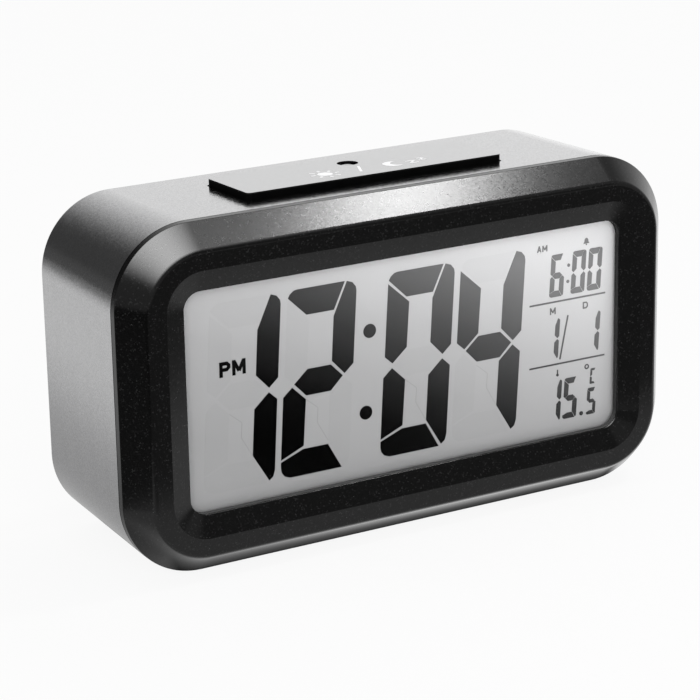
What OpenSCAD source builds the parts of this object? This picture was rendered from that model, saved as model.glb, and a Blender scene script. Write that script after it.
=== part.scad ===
// Digital alarm clock: framed display in a drafted sleeve with a press bar on top.
// Depths are counted from the front plane to the back, insets from the outer outline inwards.

/* [Case] */
// Overall width of the bezel
case_w = 135; // [132:1:146]
// Overall height of the bezel
case_h = 75.6; // [75:0.2:84]
// Overall depth from front plane to back rim
case_d = 45; // [45:0.5:52]
// Corner radius of the outer outline
corner_r = 17.5; // [16.5:0.5:18]
// Inset of the sleeve at its back rim
draft_inset = 1.15; // [0.9:0.05:1.3]
// Wall thickness of the sleeve
wall_t = 2.2; // [2:0.1:2.4]
// Width of the seam groove behind the bezel
seam_w = 0.25; // [0.2:0.05:0.4]

/* [Bezel] */
// Width of the outer chamfer seen from the front
chamfer_w = 4.8; // [4.4:0.1:5.2]
// Depth of the outer chamfer
chamfer_d = 5.85; // [5.4:0.05:6.2]
// Length of the straight land behind the chamfer
land_l = 1.55; // [1.2:0.05:2.1]
// Width of the flat front ring
face_w = 4.1; // [3.8:0.1:4.6]
// Width of the inner slope
slope_w = 4.8; // [4.4:0.1:5.2]
// Depth of the inner slope
slope_d = 1.8; // [1.4:0.1:2]
// Depth of the straight wall down to the window
recess_d = 1.6; // [1.4:0.1:1.8]

/* [Display] */
// Thickness of the clear window
window_t = 0.9; // [0.8:0.1:1]
// Thickness of the display cell
lcd_t = 2.2; // [1.8:0.1:2.6]
// Thickness of the light guide
guide_t = 4.5; // [4:0.1:5]

/* [Press bar] */
// Width of the bar
bar_w = 63; // [58:0.5:64]
// Length of the bar from front to back
bar_l = 18.6; // [17.5:0.1:19.6]
// Height of the bar above the sleeve
bar_rise = 1.58; // [1.5:0.02:2.2]
// Depth of the bar's centre behind the front plane
bar_d = 24.5; // [24:0.1:25]
// Corner radius of the bar
bar_r = 1; // [0.5:0.1:2.5]
// Press travel of the bar
bar_travel = 1; // [0.8:0.1:1.1]

/* [Rear] */
// Thickness of the rear cover plate
cover_t = 2.2; // [2:0.1:2.4]
// Radius of the rear buttons
button_r = 4; // [3.6:0.1:4.4]
// Press travel of the rear buttons
button_travel = 0.8; // [0.6:0.1:0.9]
// Travel of the slide knobs
slider_travel = 3; // [2.6:0.1:3.2]

/* [Power] */
// Diameter of one cell
cell_d = 10.5; // [10.3:0.1:10.7]
// Length of one cell with its nub
cell_l = 44.5; // [44:0.1:45]

/* [Feet] */
// Radius of the rubber feet
foot_r = 4.5; // [4:0.1:5]
// Height of the bezel above the table
foot_drop = 0.4; // [0.3:0.1:0.8]

/* [Hidden] */
$fn = 96;

// Outline halves and the height of the middle above the table
half_w = case_w / 2;
half_h = case_h / 2;
mid_z = half_h + foot_drop;

// Bezel insets and depths
face_in = chamfer_w + face_w;
open_in = face_in + slope_w;
seam_d = chamfer_d + land_l;
window_d = slope_d + recess_d;
skin_t = 2.2;
pocket_in = open_in - 3.3;
rib_in = pocket_in - 1.6;
rib_d = window_d + 1.6;
skirt_out = wall_t + 0.2;
skirt_in = skirt_out + 1.5;
skirt_d = seam_d + 3.2;
chamfer_len = sqrt(chamfer_w * chamfer_w + chamfer_d * chamfer_d);
under_shift = skin_t * chamfer_d / chamfer_len;
under_drop = skin_t * chamfer_w / chamfer_len;
function under_at(inset) = chamfer_d + under_drop - (inset - under_shift) * chamfer_d / chamfer_w;
under_in = under_shift + (chamfer_d + under_drop - skin_t) * chamfer_w / chamfer_d;

// Sleeve draft
function out_inset(d) = draft_inset * (d - seam_d) / (case_d - seam_d);
function top_y(d) = half_h - out_inset(d);
groove_in = 0.5;
back_edge = 0.8;

// Screw columns that join bezel and rear cover
column_x = half_w - 7.9;
column_y = 14;
column_r = 2.5;
column_end = 26;
post_r = 3;
screw_r = 1.25;
screw_gap = 0.03;
screw_bite = 10;
head_r = 2.3;
head_h = 1.6;

// Display stack
open_w = case_w - 2 * open_in;
open_h = case_h - 2 * open_in;
panel_w = open_w + 1.8;
panel_h = open_h + 1.8;
panel_d = window_d + window_t + 0.2;
ink_t = 0.1;
panel_back = panel_d + lcd_t;
film_t = 0.3;
board_d = panel_back + guide_t + film_t;
board_t = 1.6;
board_back = board_d + board_t;
holder_ledge = 1.2;
guide_x = panel_w / 2 - 3.9;
guide_y = panel_h / 2 - 3.8;
led_y = 12;
led_gap = 0.4;
led_size = [1.6, 3, 3];
blob_r = 7;
blob_h = 1.9;
fix_x = half_w - pocket_in;
fix_y = half_h - pocket_in;
fix_r = 0.9;
fix_head_r = 1.9;
fix_head_h = 1.3;

// Press bar and the board below it
plate_t = 0.35;
flange_w = 1.5;
flange_t = 1.5;
bar_gap = 0.35;
bar_skin = 1.6;
bar_core_r = 0.5;
sensor_r = 2.35;
sensor_d = bar_d + 3.7;
sensor_step = 2;
lens_sink = 0.35;
plunger_d = bar_d - 4;
plunger_r = 2.2;
spring_x = 24;
spring_r = 2.9;
spring_wire = 0.5;
spring_h = 5;
spring_turns = 4;
seat_r = 4;
press_gap = 0.05;
bar_mid = top_y(bar_d);
spring_top = bar_mid - wall_t - flange_t;
tap_y = spring_top - spring_h;
tap_board_x = 40;
tap_board_l = 14;
tap_post_x = 36.5;
tap_post_r = 2.4;
tap_bite = 4.5;
eye_h = 4;
eye_r = 1.6;
switch_w = 6;
switch_h = 3.5;
stub_r = 1.7;
stub_h = 0.4;

// Rear cover and its buttons
rim_sink = 0.4;
cover_back = case_d - rim_sink;
cover_d = cover_back - cover_t;
cover_in = wall_t + out_inset(cover_back) + 0.15;
ledge_in = 1.4;
button_drop = 15.8;
button_y = half_h - button_drop;
button_margin = 17.6;
button_span = column_x - button_margin;
button_x = [-1, -1 / 3, 1 / 3, 1] * button_span;
button_gap = 0.35;
button_flange = 1.2;
button_flange_t = 1;
stem_r = 1.8;
keys_room = 7.3;
keys_back = cover_d - keys_room;
keys_d = keys_back - board_t;
slider_margin = 13.6;
slider_x = slider_margin - column_x;
slider_mid = -11;
slider_pitch = 14;
slider_y = [slider_mid + slider_pitch / 2, slider_mid - slider_pitch / 2];
pillar_at = [[-button_span * 2 / 3, button_y], [button_span * 2 / 3, button_y], [slider_x, slider_mid]];
pillar_r = 2.5;
pillar_bite = 5;
knob_w = 3.2;
knob_h = 3;
slider_can = [10, 5, 4.5];
slider_floor = 1.5;
slider_foot = [3, 2];
slider_play = 0.3;
keys_margin = 5.6;
keys_x = column_x - keys_margin;
keys_rim = 3;
keys_leg = slider_x + slider_can[0] / 2 + keys_rim;
keys_lo = slider_y[1] - slider_can[1] / 2 - keys_rim;
keys_step = button_y - switch_w / 2 - 2 * keys_rim;
keys_hi = tap_y - board_t - 1;
ribbon_w = 10;
ribbon_t = 0.5;
ribbon_drop = 3.5;

// Battery bay and its door
plate_metal = 0.4;
cell_spring = 4;
cell_spring_r = 3.4;
cell_spring_tip = 2.2;
cell_spring_turns = 3;
cell_pitch = cell_d + 0.3;
bay_hx = cell_l / 2 + plate_metal + cell_spring / 2;
bay_hy = cell_pitch + cell_d / 2 + 0.45;
bay_y = -10;
bay_wall = 1.6;
door_t = 1.8;
door_in = cover_back - door_t;
cell_axis = door_in - 0.5 - cell_d / 2;
bay_floor = cell_axis - cell_d / 2 - 0.05;
bay_front = bay_floor - bay_wall;
door_gap = 0.2;
nose_r = door_t / 2;
door_hx = bay_hx + 1;
door_lo = bay_y - bay_hy - 0.4;
door_hi = bay_y + bay_hy + 1;
tab_x = 14;
tab_w = 6;
tab_reach = 1.8;
tab_gap = 0.25;
tab_t = 1;
tail_l = 1;
tail_w = 2;
tail_gap = 0.2;

// Sounder, wires and feet
buzzer_r = 9.5;
buzzer_h = 5;
buzzer_x = column_x - post_r - buzzer_r - 3.1;
buzzer_y = -8;
buzzer_pins = 5;
wire_r = 0.6;
foot_margin = 23.5;
foot_x = half_w - foot_margin;
foot_front = 14;
foot_end = 7;
foot_back = case_d - foot_end;
foot_sink = 0.8;

// Frame helpers: children are drawn with x right, y up and z towards the viewer of the front.
module upright() {
  translate([0, 0, mid_z]) rotate([90, 0, 0]) children();
}

// Rounded rectangle about the origin
module rounded(w, h, r) {
  square([w - 2 * r, h], center = true);
  square([w, h - 2 * r], center = true);
  for (sx = [-1, 1], sy = [-1, 1]) {
    translate([sx * (w / 2 - r), sy * (h / 2 - r)]) circle(r = r);
  }
}

// Outline of the case moved inwards
module outline(inset) {
  rounded(case_w - 2 * inset, case_h - 2 * inset, corner_r - inset);
}

// Flat shape thickened between two depths
module slab(d0, d1) {
  translate([0, 0, case_d / 2 - d1]) linear_extrude(d1 - d0) children();
}

// Round bar along the depth
module rod(x, y, d0, d1, r) {
  translate([x, y, case_d / 2 - d1]) cylinder(h = d1 - d0, r = r);
}

// Round bar along the height
module post(x, d, y0, y1, r) {
  translate([x, y0, case_d / 2 - d]) rotate([-90, 0, 0]) cylinder(h = y1 - y0, r = r);
}

// Round bar along the width
module pin(x0, x1, y, d, r) {
  translate([x0, y, case_d / 2 - d]) rotate([0, 90, 0]) cylinder(h = x1 - x0, r = r);
}

// Box between corner values
module block(x0, x1, y0, y1, d0, d1) {
  translate([x0, y0, case_d / 2 - d1]) cube([x1 - x0, y1 - y0, d1 - d0]);
}

// Shape given in width and depth, raised between two heights
module plan(y0, y1) {
  translate([0, y0, 0]) rotate([-90, 0, 0]) linear_extrude(y1 - y0)
    translate([0, -case_d / 2]) children();
}

// Profile given as depth and height, drawn out along the width
module side(x0, x1, pts) {
  translate([x0, 0, 0]) rotate([90, 0, 90]) linear_extrude(x1 - x0)
    polygon([for (p = pts) [p[1], case_d / 2 - p[0]]]);
}

// Profile of insets and depths swept round the outline
module swept_ring(profile) {
  run_x = case_w - 2 * corner_r;
  run_y = case_h - 2 * corner_r;
  for (m = [0, 1]) {
    mirror([0, m, 0]) translate([-run_x / 2, 0, 0]) rotate([90, 0, 90]) linear_extrude(run_x)
      polygon([for (p = profile) [half_h - p[0], case_d / 2 - p[1]]]);
    mirror([m, 0, 0]) translate([0, run_y / 2, 0]) rotate([90, 0, 0]) linear_extrude(run_y)
      polygon([for (p = profile) [half_w - p[0], case_d / 2 - p[1]]]);
  }
  for (k = [0 : 3]) {
    sx = (k == 0 || k == 3) ? 1 : -1;
    sy = (k < 2) ? 1 : -1;
    translate([sx * run_x / 2, sy * run_y / 2, 0]) rotate([0, 0, 90 * k]) rotate_extrude(angle = 90)
      polygon([for (p = profile) [corner_r - p[0], case_d / 2 - p[1]]]);
  }
}

// Four positions about both middle planes
module at_four(x, y) {
  for (sx = [-1, 1], sy = [-1, 1]) translate([sx * x, sy * y, 0]) children();
}

// Screw along the depth with its head seat at one depth and its tip at another
module depth_screw(seat, tip, r, hr, hh) {
  way = tip < seat ? 1 : -1;
  slot_w = hr * 0.36;
  slot_l = hr * 1.3;
  difference() {
    union() {
      rod(0, 0, min(seat, tip), max(seat, tip), r);
      rod(0, 0, min(seat, seat + way * hh), max(seat, seat + way * hh), hr);
    }
    for (a = [0, 90]) {
      rotate([0, 0, a]) translate([0, 0, case_d / 2 - seat - way * hh])
        cube([slot_l, slot_w, hh], center = true);
    }
  }
}

// Coil spring standing on z = 0
module coil(r0, r1, wire, h, turns) {
  steps = 16;
  sides = 8;
  count = turns * steps;
  function ring_r(i) = r0 + (r1 - r0) * i / count;
  function ring_z(i) = wire / 2 + (h - wire) * i / count;
  function axis_at(i) = [ring_r(i) * cos(360 * i / steps), ring_r(i) * sin(360 * i / steps), ring_z(i)];
  pts = [for (i = [0 : count], j = [0 : sides - 1])
    let (a = 360 * i / steps, b = 360 * j / sides, q = ring_r(i) + wire / 2 * cos(b))
    [q * cos(a), q * sin(a), ring_z(i) + wire / 2 * sin(b)]];
  quads = [for (i = [0 : count - 1], j = [0 : sides - 1])
    let (k = (j + 1) % sides, p = i * sides, n = p + sides)
    each [[p + j, p + k, n + k], [p + j, n + k, n + j]]];
  first = [for (j = [sides - 1 : -1 : 0]) j];
  last = [for (j = [0 : sides - 1]) count * sides + j];
  echo(least_coil_gap = min([for (i = [0 : count - steps]) norm(axis_at(i + steps) - axis_at(i)) - wire]));
  polyhedron(pts, concat(quads, [first, last]));
}

// Bezel: swept frame with rear skirt, screw columns and board bosses
module front_bezel() {
  color("#17181b") upright() difference() {
    union() {
      swept_ring([[0, seam_d], [0, chamfer_d], [chamfer_w, 0], [face_in, 0], [open_in, slope_d],
        [open_in, window_d], [pocket_in, window_d], [pocket_in, rib_d], [rib_in, rib_d],
        [rib_in, skin_t], [under_in, skin_t], [skirt_in, under_at(skirt_in)], [skirt_in, skirt_d],
        [skirt_out, skirt_d], [skirt_out, seam_d]]);
      at_four(column_x, column_y) rod(0, 0, skin_t - 0.6, column_end, column_r);
      at_four(fix_x, fix_y) rod(0, 0, skin_t - 0.6, rib_d, column_r);
    }
    at_four(column_x, column_y)
      rod(0, 0, column_end - screw_bite - 1, column_end + 1, screw_r + screw_gap);
    at_four(fix_x, fix_y) rod(0, 0, skin_t - 0.2, rib_d + 1, fix_r + screw_gap);
  }
}

// Vertical prism of the bar's outline, cut parallel to the sleeve's top
module bar_prism(grow, lo, hi) {
  d0 = bar_d - bar_l / 2 - grow - 1;
  d1 = bar_d + bar_l / 2 + grow + 1;
  reach = bar_w / 2 + grow + 1;
  intersection() {
    plan(half_h - 15, half_h + 15) translate([0, bar_d])
      rounded(bar_w + 2 * grow, bar_l + 2 * grow, max(bar_r + grow, bar_core_r));
    side(-reach, reach, [[d0, top_y(d0) + lo], [d1, top_y(d1) + lo],
      [d1, top_y(d1) + hi], [d0, top_y(d0) + hi]]);
  }
}

// Sleeve: drafted wall with a rear ledge, the bar's opening and posts for the board below it
module case_shell() {
  ledge_d = cover_d;
  color("#b9bbbd") upright() difference() {
    union() {
      swept_ring([[groove_in, seam_d], [groove_in, seam_d + seam_w],
        [out_inset(seam_d + seam_w), seam_d + seam_w],
        [out_inset(case_d - back_edge), case_d - back_edge],
        [draft_inset + back_edge, case_d], [draft_inset + wall_t, case_d],
        [out_inset(ledge_d) + wall_t, ledge_d],
        [out_inset(ledge_d) + wall_t + ledge_in, ledge_d],
        [out_inset(ledge_d) + wall_t + ledge_in, ledge_d - ledge_in],
        [out_inset(ledge_d - 2 * ledge_in) + wall_t, ledge_d - 2 * ledge_in],
        [wall_t, seam_d]]);
      for (s = [-1, 1]) post(s * tap_post_x, bar_d, tap_y, bar_mid - wall_t / 2, tap_post_r);
    }
    plan(half_h - wall_t - 2, half_h + 5) translate([0, bar_d])
      rounded(bar_w + 2 * bar_gap, bar_l + 2 * bar_gap, bar_r + bar_gap);
    for (s = [-1, 1]) post(s * tap_post_x, bar_d, tap_y - 1, tap_y + tap_bite + 0.5, fix_r + screw_gap);
    for (s = [-1, 1], d = [foot_front, foot_back])
      post(s * foot_x, d, -half_h - 2, -top_y(d) + foot_sink, foot_r + 0.1);
  }
}

// Rear cover: plate with battery bay, screw posts, board pillars and openings
module rear_cover() {
  grille_pitch = 3;
  grille_r = 0.8;
  knob_reach = knob_w + slider_travel + 2 * button_gap;
  color("#222326") upright() difference() {
    union() {
      slab(cover_d, cover_back) outline(cover_in);
      block(-bay_hx - bay_wall, bay_hx + bay_wall, bay_y - bay_hy - bay_wall, bay_y + bay_hy + bay_wall,
        bay_front, cover_d + 0.5);
      at_four(column_x, column_y) rod(0, 0, column_end, cover_d + 0.5, post_r);
      for (p = pillar_at) rod(p[0], p[1], keys_back, cover_d + 0.5, pillar_r);
    }
    block(-bay_hx, bay_hx, bay_y - bay_hy, bay_y + bay_hy, bay_floor, case_d);
    block(-door_hx - door_gap, door_hx + door_gap, door_lo - door_gap, door_hi + door_gap, door_in, case_d);
    for (s = [-1, 1])
      block(s * tab_x - tab_w / 2 - 0.4, s * tab_x + tab_w / 2 + 0.4, door_lo - tab_reach - 0.7,
        bay_y - bay_hy + 1, cover_d - 2.6, cover_d);
    rod(0, door_hi, cover_back - 1.2, case_d, 6);
    at_four(column_x, column_y) {
      rod(0, 0, column_end - 1, cover_back, screw_r + 0.25);
      rod(0, 0, cover_back - head_h - 0.2, case_d, head_r + 0.3);
    }
    for (x = button_x) rod(x, button_y, cover_d - 1, case_d, button_r + button_gap);
    for (y = slider_y)
      block(slider_x - knob_reach / 2, slider_x + knob_reach / 2, y - knob_h / 2 - button_gap,
        y + knob_h / 2 + button_gap, cover_d - 1, case_d);
    for (p = pillar_at) rod(p[0], p[1], keys_back - 1, keys_back + pillar_bite + 0.5, fix_r + screw_gap);
    rod(buzzer_x, buzzer_y, cover_d - 1, case_d, grille_r);
    for (k = [1, 2], a = [0 : 60 / k : 359])
      rod(buzzer_x + k * grille_pitch * cos(a), buzzer_y + k * grille_pitch * sin(a),
        cover_d - 1, case_d, grille_r);
    for (s = [-1, 1]) {
      tail_x = s * (bay_hx - plate_metal / 2);
      tail_y = bay_y - s * cell_pitch;
      block(tail_x - plate_metal / 2 - 0.1, tail_x + plate_metal / 2 + 0.1, tail_y - tail_w / 2 - tail_gap,
        tail_y + tail_w / 2 + tail_gap, bay_front - 1, bay_floor + 1);
    }
  }
}

// Clear window behind the opening
module display_window() {
  color("#dfe6e8") upright() slab(window_d, window_d + window_t) outline(pocket_in + 0.25);
}

// Display cell
module lcd_panel() {
  color("#b8bcb4") upright() slab(panel_d, panel_back) square([panel_w, panel_h], center = true);
}

// One seven-segment figure: strokes of the full-size figure about its centre, scaled to a cell
seg_a = [[-6.8, 18.75], [-6.3, 19.6], [-5.4, 20.25], [-4.6, 20.4], [6.85, 20.4], [4.1, 14.6], [-2.5, 14.6]];
seg_b = [[7.4, 20.35], [8.7, 19.9], [9.5, 18.9], [9.65, 18], [8.6, 2.1], [6.4, 0.2], [3.4, 3.4],
  [4.05, 13.2]];
seg_c = [[6.35, -0.8], [8.25, -2.57], [7.25, -18.2], [6.8, -19.6], [5.85, -20.3], [2.1, -14.1],
  [2.8, -3.93]];
seg_d = [[-9.45, -17], [-3.95, -14.9], [2, -14.9], [5.25, -20.7], [-7.3, -20.7], [-8.6, -20.2],
  [-9.3, -19.3], [-9.45, -18.4]];
seg_e = [[-6.3, -0.8], [-3.1, -3.91], [-3.9, -14.17], [-9.4, -16.45], [-8.5, -2.7]];
seg_f = [[-6.95, 18], [-1.85, 13.4], [-2.6, 3.35], [-6.2, 0.25], [-8.05, 1.9]];
seg_g = [[-5.8, -0.2], [-2.5, 2.67], [3.1, 2.67], [5.95, -0.2], [2.95, -3.1], [-3, -3.1]];
figure_0 = [seg_a, seg_b, seg_c, seg_d, seg_e, seg_f];
figure_1 = [seg_b, seg_c];
figure_2 = [seg_a, seg_b, seg_g, seg_e, seg_d];
figure_4 = [seg_f, seg_g, seg_b, seg_c];
figure_5 = [seg_a, seg_f, seg_g, seg_c, seg_d];
figure_6 = [seg_a, seg_f, seg_g, seg_c, seg_d, seg_e];
figure_c = [seg_a, seg_f, seg_e, seg_d];

// Display marks follow the size of the opening
mark_kx = open_w / 107.6;
mark_ky = open_h / 48.2;
mark_shift = [0.57, -0.36];
function mark_at(p) = [(p[0] + mark_shift[0]) * mark_kx, (p[1] + mark_shift[1]) * mark_ky];

module figure(strokes, cx, cy, kx, ky) {
  for (s = strokes) polygon([for (p = s) mark_at([cx + p[0] * kx, cy + p[1] * ky])]);
}

// Stroke of one width between two points
module stroke(a, b, w) {
  p = mark_at(a);
  q = mark_at(b);
  len = norm(q - p);
  n = [p[1] - q[1], q[0] - p[0]] * (w * mark_ky / 2 / len);
  polygon([p + n, q + n, q - n, p - n]);
}

module dot(c, r) {
  translate(mark_at(c)) circle(r = r * mark_ky, $fn = 32);
}

// Capital letters in a cell with its lower left corner at o
module letter_p(o, w, h, t) {
  foot = 0.36 * h;
  turn = 0.9 * t;
  hook = 0.3 * t;
  difference() {
    polygon([for (p = [[0, 0], [t, 0], [t, foot], [w - turn, foot], [w, foot + turn], [w, h - turn],
      [w - turn, h], [0, h]]) mark_at(o + p)]);
    polygon([for (p = [[t, foot + t], [w - t - hook, foot + t], [w - t, foot + t + hook],
      [w - t, h - t - hook], [w - t - hook, h - t], [t, h - t]]) mark_at(o + p)]);
  }
}

module letter_a(o, w, h, t) {
  difference() {
    union() {
      stroke(o + [t / 2, -0.2 * h], o + [w / 2, h], t);
      stroke(o + [w - t / 2, -0.2 * h], o + [w / 2, h], t);
    }
    stroke(o + [-w, -0.1 * h], o + [2 * w, -0.1 * h], 0.2 * h);
  }
  stroke(o + [w * 0.28, h * 0.3], o + [w * 0.72, h * 0.3], t * 0.9);
}

module letter_m(o, w, h, t) {
  stroke(o + [t / 2, 0], o + [t / 2, h], t);
  stroke(o + [w - t / 2, 0], o + [w - t / 2, h], t);
  stroke(o + [t * 0.6, h * 0.95], o + [w / 2, h * 0.25], t);
  stroke(o + [w - t * 0.6, h * 0.95], o + [w / 2, h * 0.25], t);
}

module letter_d(o, w, h, t) {
  stroke(o + [t / 2, 0], o + [t / 2, h], t);
  stroke(o + [0, t / 2], o + [w * 0.65, t / 2], t);
  stroke(o + [0, h - t / 2], o + [w * 0.65, h - t / 2], t);
  stroke(o + [w * 0.6, t * 0.3], o + [w - t / 2, h * 0.3], t);
  stroke(o + [w * 0.6, h - t * 0.3], o + [w - t / 2, h * 0.7], t);
  stroke(o + [w - t / 2, h * 0.25], o + [w - t / 2, h * 0.75], t);
}

module bell_mark(c, s) {
  polygon([for (p = [[-0.75, -0.45], [0.75, -0.45], [0.5, -0.1], [0.42, 0.45], [0.2, 0.72], [-0.2, 0.72],
    [-0.42, 0.45], [-0.5, -0.1]]) mark_at(c + p * s)]);
  dot(c + [0, -0.68] * s, 0.16 * s);
}

module warmth_mark(c, s) {
  stroke(c + [0, -0.5] * s, c + [0, 0.8] * s, 0.32 * s);
  dot(c + [0, -0.55] * s, 0.36 * s);
}

module display_marks() {
  big_at = [-40.4, -22.2, 2.25, 20.45];
  big = [figure_1, figure_2, figure_0, figure_4];
  for (k = [0 : 3]) figure(big[k], big_at[k], 0, 1, 1);
  dot([-9.46, 8.47], 1.55);
  dot([-10.7, -9.64], 1.55);
  letter_p([-45.5, 4.36], 2.6, 3.3, 0.78);
  letter_m([-42.5, 4.36], 3.15, 3.3, 0.74);
  letter_a([33.15, 19.07], 1.25, 1.4, 0.26);
  letter_m([34.6, 19.07], 1.3, 1.4, 0.26);
  bell_mark([46.3, 19.75], 1.05);
  figure(figure_6, 38.55, 13.14, 0.217, 0.235);
  figure(figure_0, 44.23, 13.14, 0.216, 0.235);
  figure(figure_0, 48.58, 13.14, 0.216, 0.235);
  dot([41.6, 15], 0.38);
  dot([41.4, 11.3], 0.38);
  stroke([31.3, 7.13], [51.5, 7.13], 0.36);
  stroke([31.3, -7.39], [51.5, -7.39], 0.36);
  letter_m([36.7, 4.3], 1.5, 1.55, 0.28);
  letter_d([45.5, 4.3], 1.35, 1.55, 0.28);
  figure(figure_1, 37.3, -1.4, 0.216, 0.226);
  figure(figure_1, 48.2, -1.4, 0.216, 0.226);
  stroke([41.5, 3.5], [39.4, -6.4], 0.36);
  warmth_mark([38.8, -9.5], 0.9);
  difference() {
    dot([46.7, -9.4], 0.6);
    dot([46.7, -9.4], 0.33);
  }
  figure(figure_c, 48.4, -11.85, 0.09, 0.088);
  figure(figure_1, 37.95, -15.9, 0.216, 0.231);
  figure(figure_5, 42.26, -15.9, 0.22, 0.231);
  dot([45.3, -20.2], 0.5);
  figure(figure_5, 47.99, -17.68, 0.144, 0.151);
}

// Dark figures on the front of the cell
module lcd_segments() {
  color("#101214") upright() slab(panel_d - ink_t, panel_d) display_marks();
}

// Frame that clamps the cell and carries the board
module lcd_holder() {
  color("#e8e8e4") upright() difference() {
    slab(rib_d, board_d) outline(rib_in);
    slab(rib_d - 1, panel_back) square([panel_w + 0.4, panel_h + 0.4], center = true);
    slab(rib_d - 1, board_d + 1)
      square([panel_w - 2 * holder_ledge, panel_h - 2 * holder_ledge], center = true);
    at_four(column_x, column_y) rod(0, 0, 0, board_d + 1, column_r + 0.4);
    at_four(fix_x, fix_y) rod(0, 0, 0, board_d + 1, fix_r + 0.3);
  }
}

module light_guide() {
  color("#eef2f4") upright() block(-guide_x, guide_x, -guide_y, guide_y, panel_back, panel_back + guide_t);
}

module reflector_film() {
  color("#f6f6f2") upright() block(-guide_x, guide_x, -guide_y, guide_y, panel_back + guide_t, board_d);
}

// Elastic contact strips between cell and board
module zebra_strips() {
  strip_hi = panel_h / 2 - 1.4;
  strip_lo = panel_h / 2 - 3.4;
  strip_x = panel_w / 2 - 4;
  color("#c9a8ad") upright() {
    block(-strip_x, strip_x, strip_lo, strip_hi, panel_back, board_d);
    block(-strip_x, strip_x, -strip_hi, -strip_lo, panel_back, board_d);
  }
}

// Lamps at both ends of the light guide
module backlight_leds() {
  led_in = guide_x + led_gap;
  color("#f2efd0") upright() for (s = [-1, 1], y = [-led_y, led_y]) {
    mirror([s < 0 ? 1 : 0, 0, 0])
      block(led_in, led_in + led_size[0], y - led_size[1] / 2, y + led_size[1] / 2,
        board_d - led_size[2], board_d);
  }
}

module main_board() {
  color("#1f5a3a") upright() difference() {
    slab(board_d, board_back) outline(rib_in);
    at_four(column_x, column_y) rod(0, 0, board_d - 1, board_back + 1, column_r + 0.4);
    at_four(fix_x, fix_y) rod(0, 0, board_d - 1, board_back + 1, fix_r + 0.3);
  }
}

module chip_blob() {
  color("#111111") upright() translate([0, 0, case_d / 2 - board_back]) mirror([0, 0, 1]) rotate_extrude()
    polygon([[0, 0], [blob_r, 0], [0.92 * blob_r, 0.42 * blob_h], [0.69 * blob_r, 0.79 * blob_h],
      [0, blob_h]]);
}

module crystal() {
  can = [10, 4, 3.5];
  color("#c6c8ca") upright() slab(board_back, board_back + can[2])
    translate([22, 8]) rounded(can[0], can[1], can[1] / 2 - 0.1);
}

module capacitor() {
  can_h = 7;
  can_r = 2.5;
  color("#30343c") upright() rod(bay_hx + bay_wall + can_r, bay_y, board_back, board_back + can_h, can_r);
}

module temp_sensor() {
  bead_h = 3;
  bead_r = 1.2;
  bead_in = 3;
  color("#2b2a26") upright()
    rod(slider_x, -half_h + rib_in + bead_in + bead_r, board_back, board_back + bead_h, bead_r);
}

module board_screws() {
  color("#b8b6ae") upright() at_four(fix_x, fix_y)
    depth_screw(board_back, skin_t + 0.3, fix_r, fix_head_r, fix_head_h);
}

// Black press bar: shell with flange, plunger, spring seats and sensor tube
module snooze_bar() {
  roof = bar_rise - plate_t;
  stop_y = tap_y + switch_h + stub_h + bar_travel + press_gap;
  inner_y = bar_mid + roof - bar_skin / 2;
  tube_y = bar_mid + roof - sensor_step - 1.2;
  color("#141416") upright() difference() {
    union() {
      difference() {
        union() {
          bar_prism(0, -wall_t - flange_t, roof);
          bar_prism(flange_w, -wall_t - flange_t, -wall_t);
        }
        bar_prism(-bar_skin, -wall_t - flange_t - 1, roof - bar_skin);
      }
      for (s = [-1, 1]) post(s * spring_x, bar_d, spring_top, inner_y, seat_r);
      post(0, plunger_d, stop_y, inner_y, plunger_r);
      post(0, sensor_d, tube_y, inner_y, sensor_r + 1.1);
    }
    post(0, sensor_d, top_y(sensor_d) + roof + plate_t - sensor_step, half_h + 5, sensor_r);
    post(0, sensor_d, tube_y - 1, half_h + 5, sensor_r - 0.65);
  }
}

// Silver top of the bar
module snooze_plate() {
  color("#bfc1c3") upright() difference() {
    bar_prism(0, bar_rise - plate_t, bar_rise);
    post(0, sensor_d, half_h - 5, half_h + 5, sensor_r);
  }
}

// Dark lens over the light sensor
module sensor_lens() {
  lens_top = top_y(sensor_d) + bar_rise;
  color("#0a0a0c") upright()
    post(0, sensor_d, lens_top - sensor_step, lens_top - lens_sink, sensor_r - 0.05);
}

module snooze_springs() {
  color("#c8c8c8") upright() for (s = [-1, 1])
    translate([s * spring_x, tap_y, case_d / 2 - bar_d]) rotate([-90, 0, 0])
      coil(spring_r, spring_r, spring_wire, spring_h, spring_turns);
}

module snooze_board() {
  color("#1f5a3a") upright() difference() {
    block(-tap_board_x, tap_board_x, tap_y - board_t, tap_y,
      bar_d - tap_board_l / 2, bar_d + tap_board_l / 2);
    for (s = [-1, 1]) post(s * tap_post_x, bar_d, tap_y - 5, tap_y + 1, fix_r + 0.2);
  }
}

module snooze_switch() {
  color("#2a2a2c") upright() {
    block(-switch_w / 2, switch_w / 2, tap_y, tap_y + switch_h,
      plunger_d - switch_w / 2, plunger_d + switch_w / 2);
    post(0, plunger_d, tap_y + switch_h - 0.5, tap_y + switch_h + stub_h, stub_r);
  }
}

module light_sensor() {
  color("#8a3b2a") upright() post(0, sensor_d, tap_y, tap_y + eye_h, eye_r);
}

module snooze_board_screws() {
  color("#b8b6ae") upright() for (s = [-1, 1]) {
    post(s * tap_post_x, bar_d, tap_y - board_t - fix_head_h, tap_y - board_t, fix_head_r);
    post(s * tap_post_x, bar_d, tap_y - board_t - 0.3, tap_y + tap_bite, fix_r);
  }
}

module snooze_ribbon() {
  low = tap_y - board_t - 3;
  far = bar_d - 4;
  color("#9a9a98") upright() side(-18, -10, [[board_back, low], [far, low], [far, tap_y - board_t],
    [far - 0.5, tap_y - board_t], [far - 0.5, low + 0.5], [board_back, low + 0.5]]);
}

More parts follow.
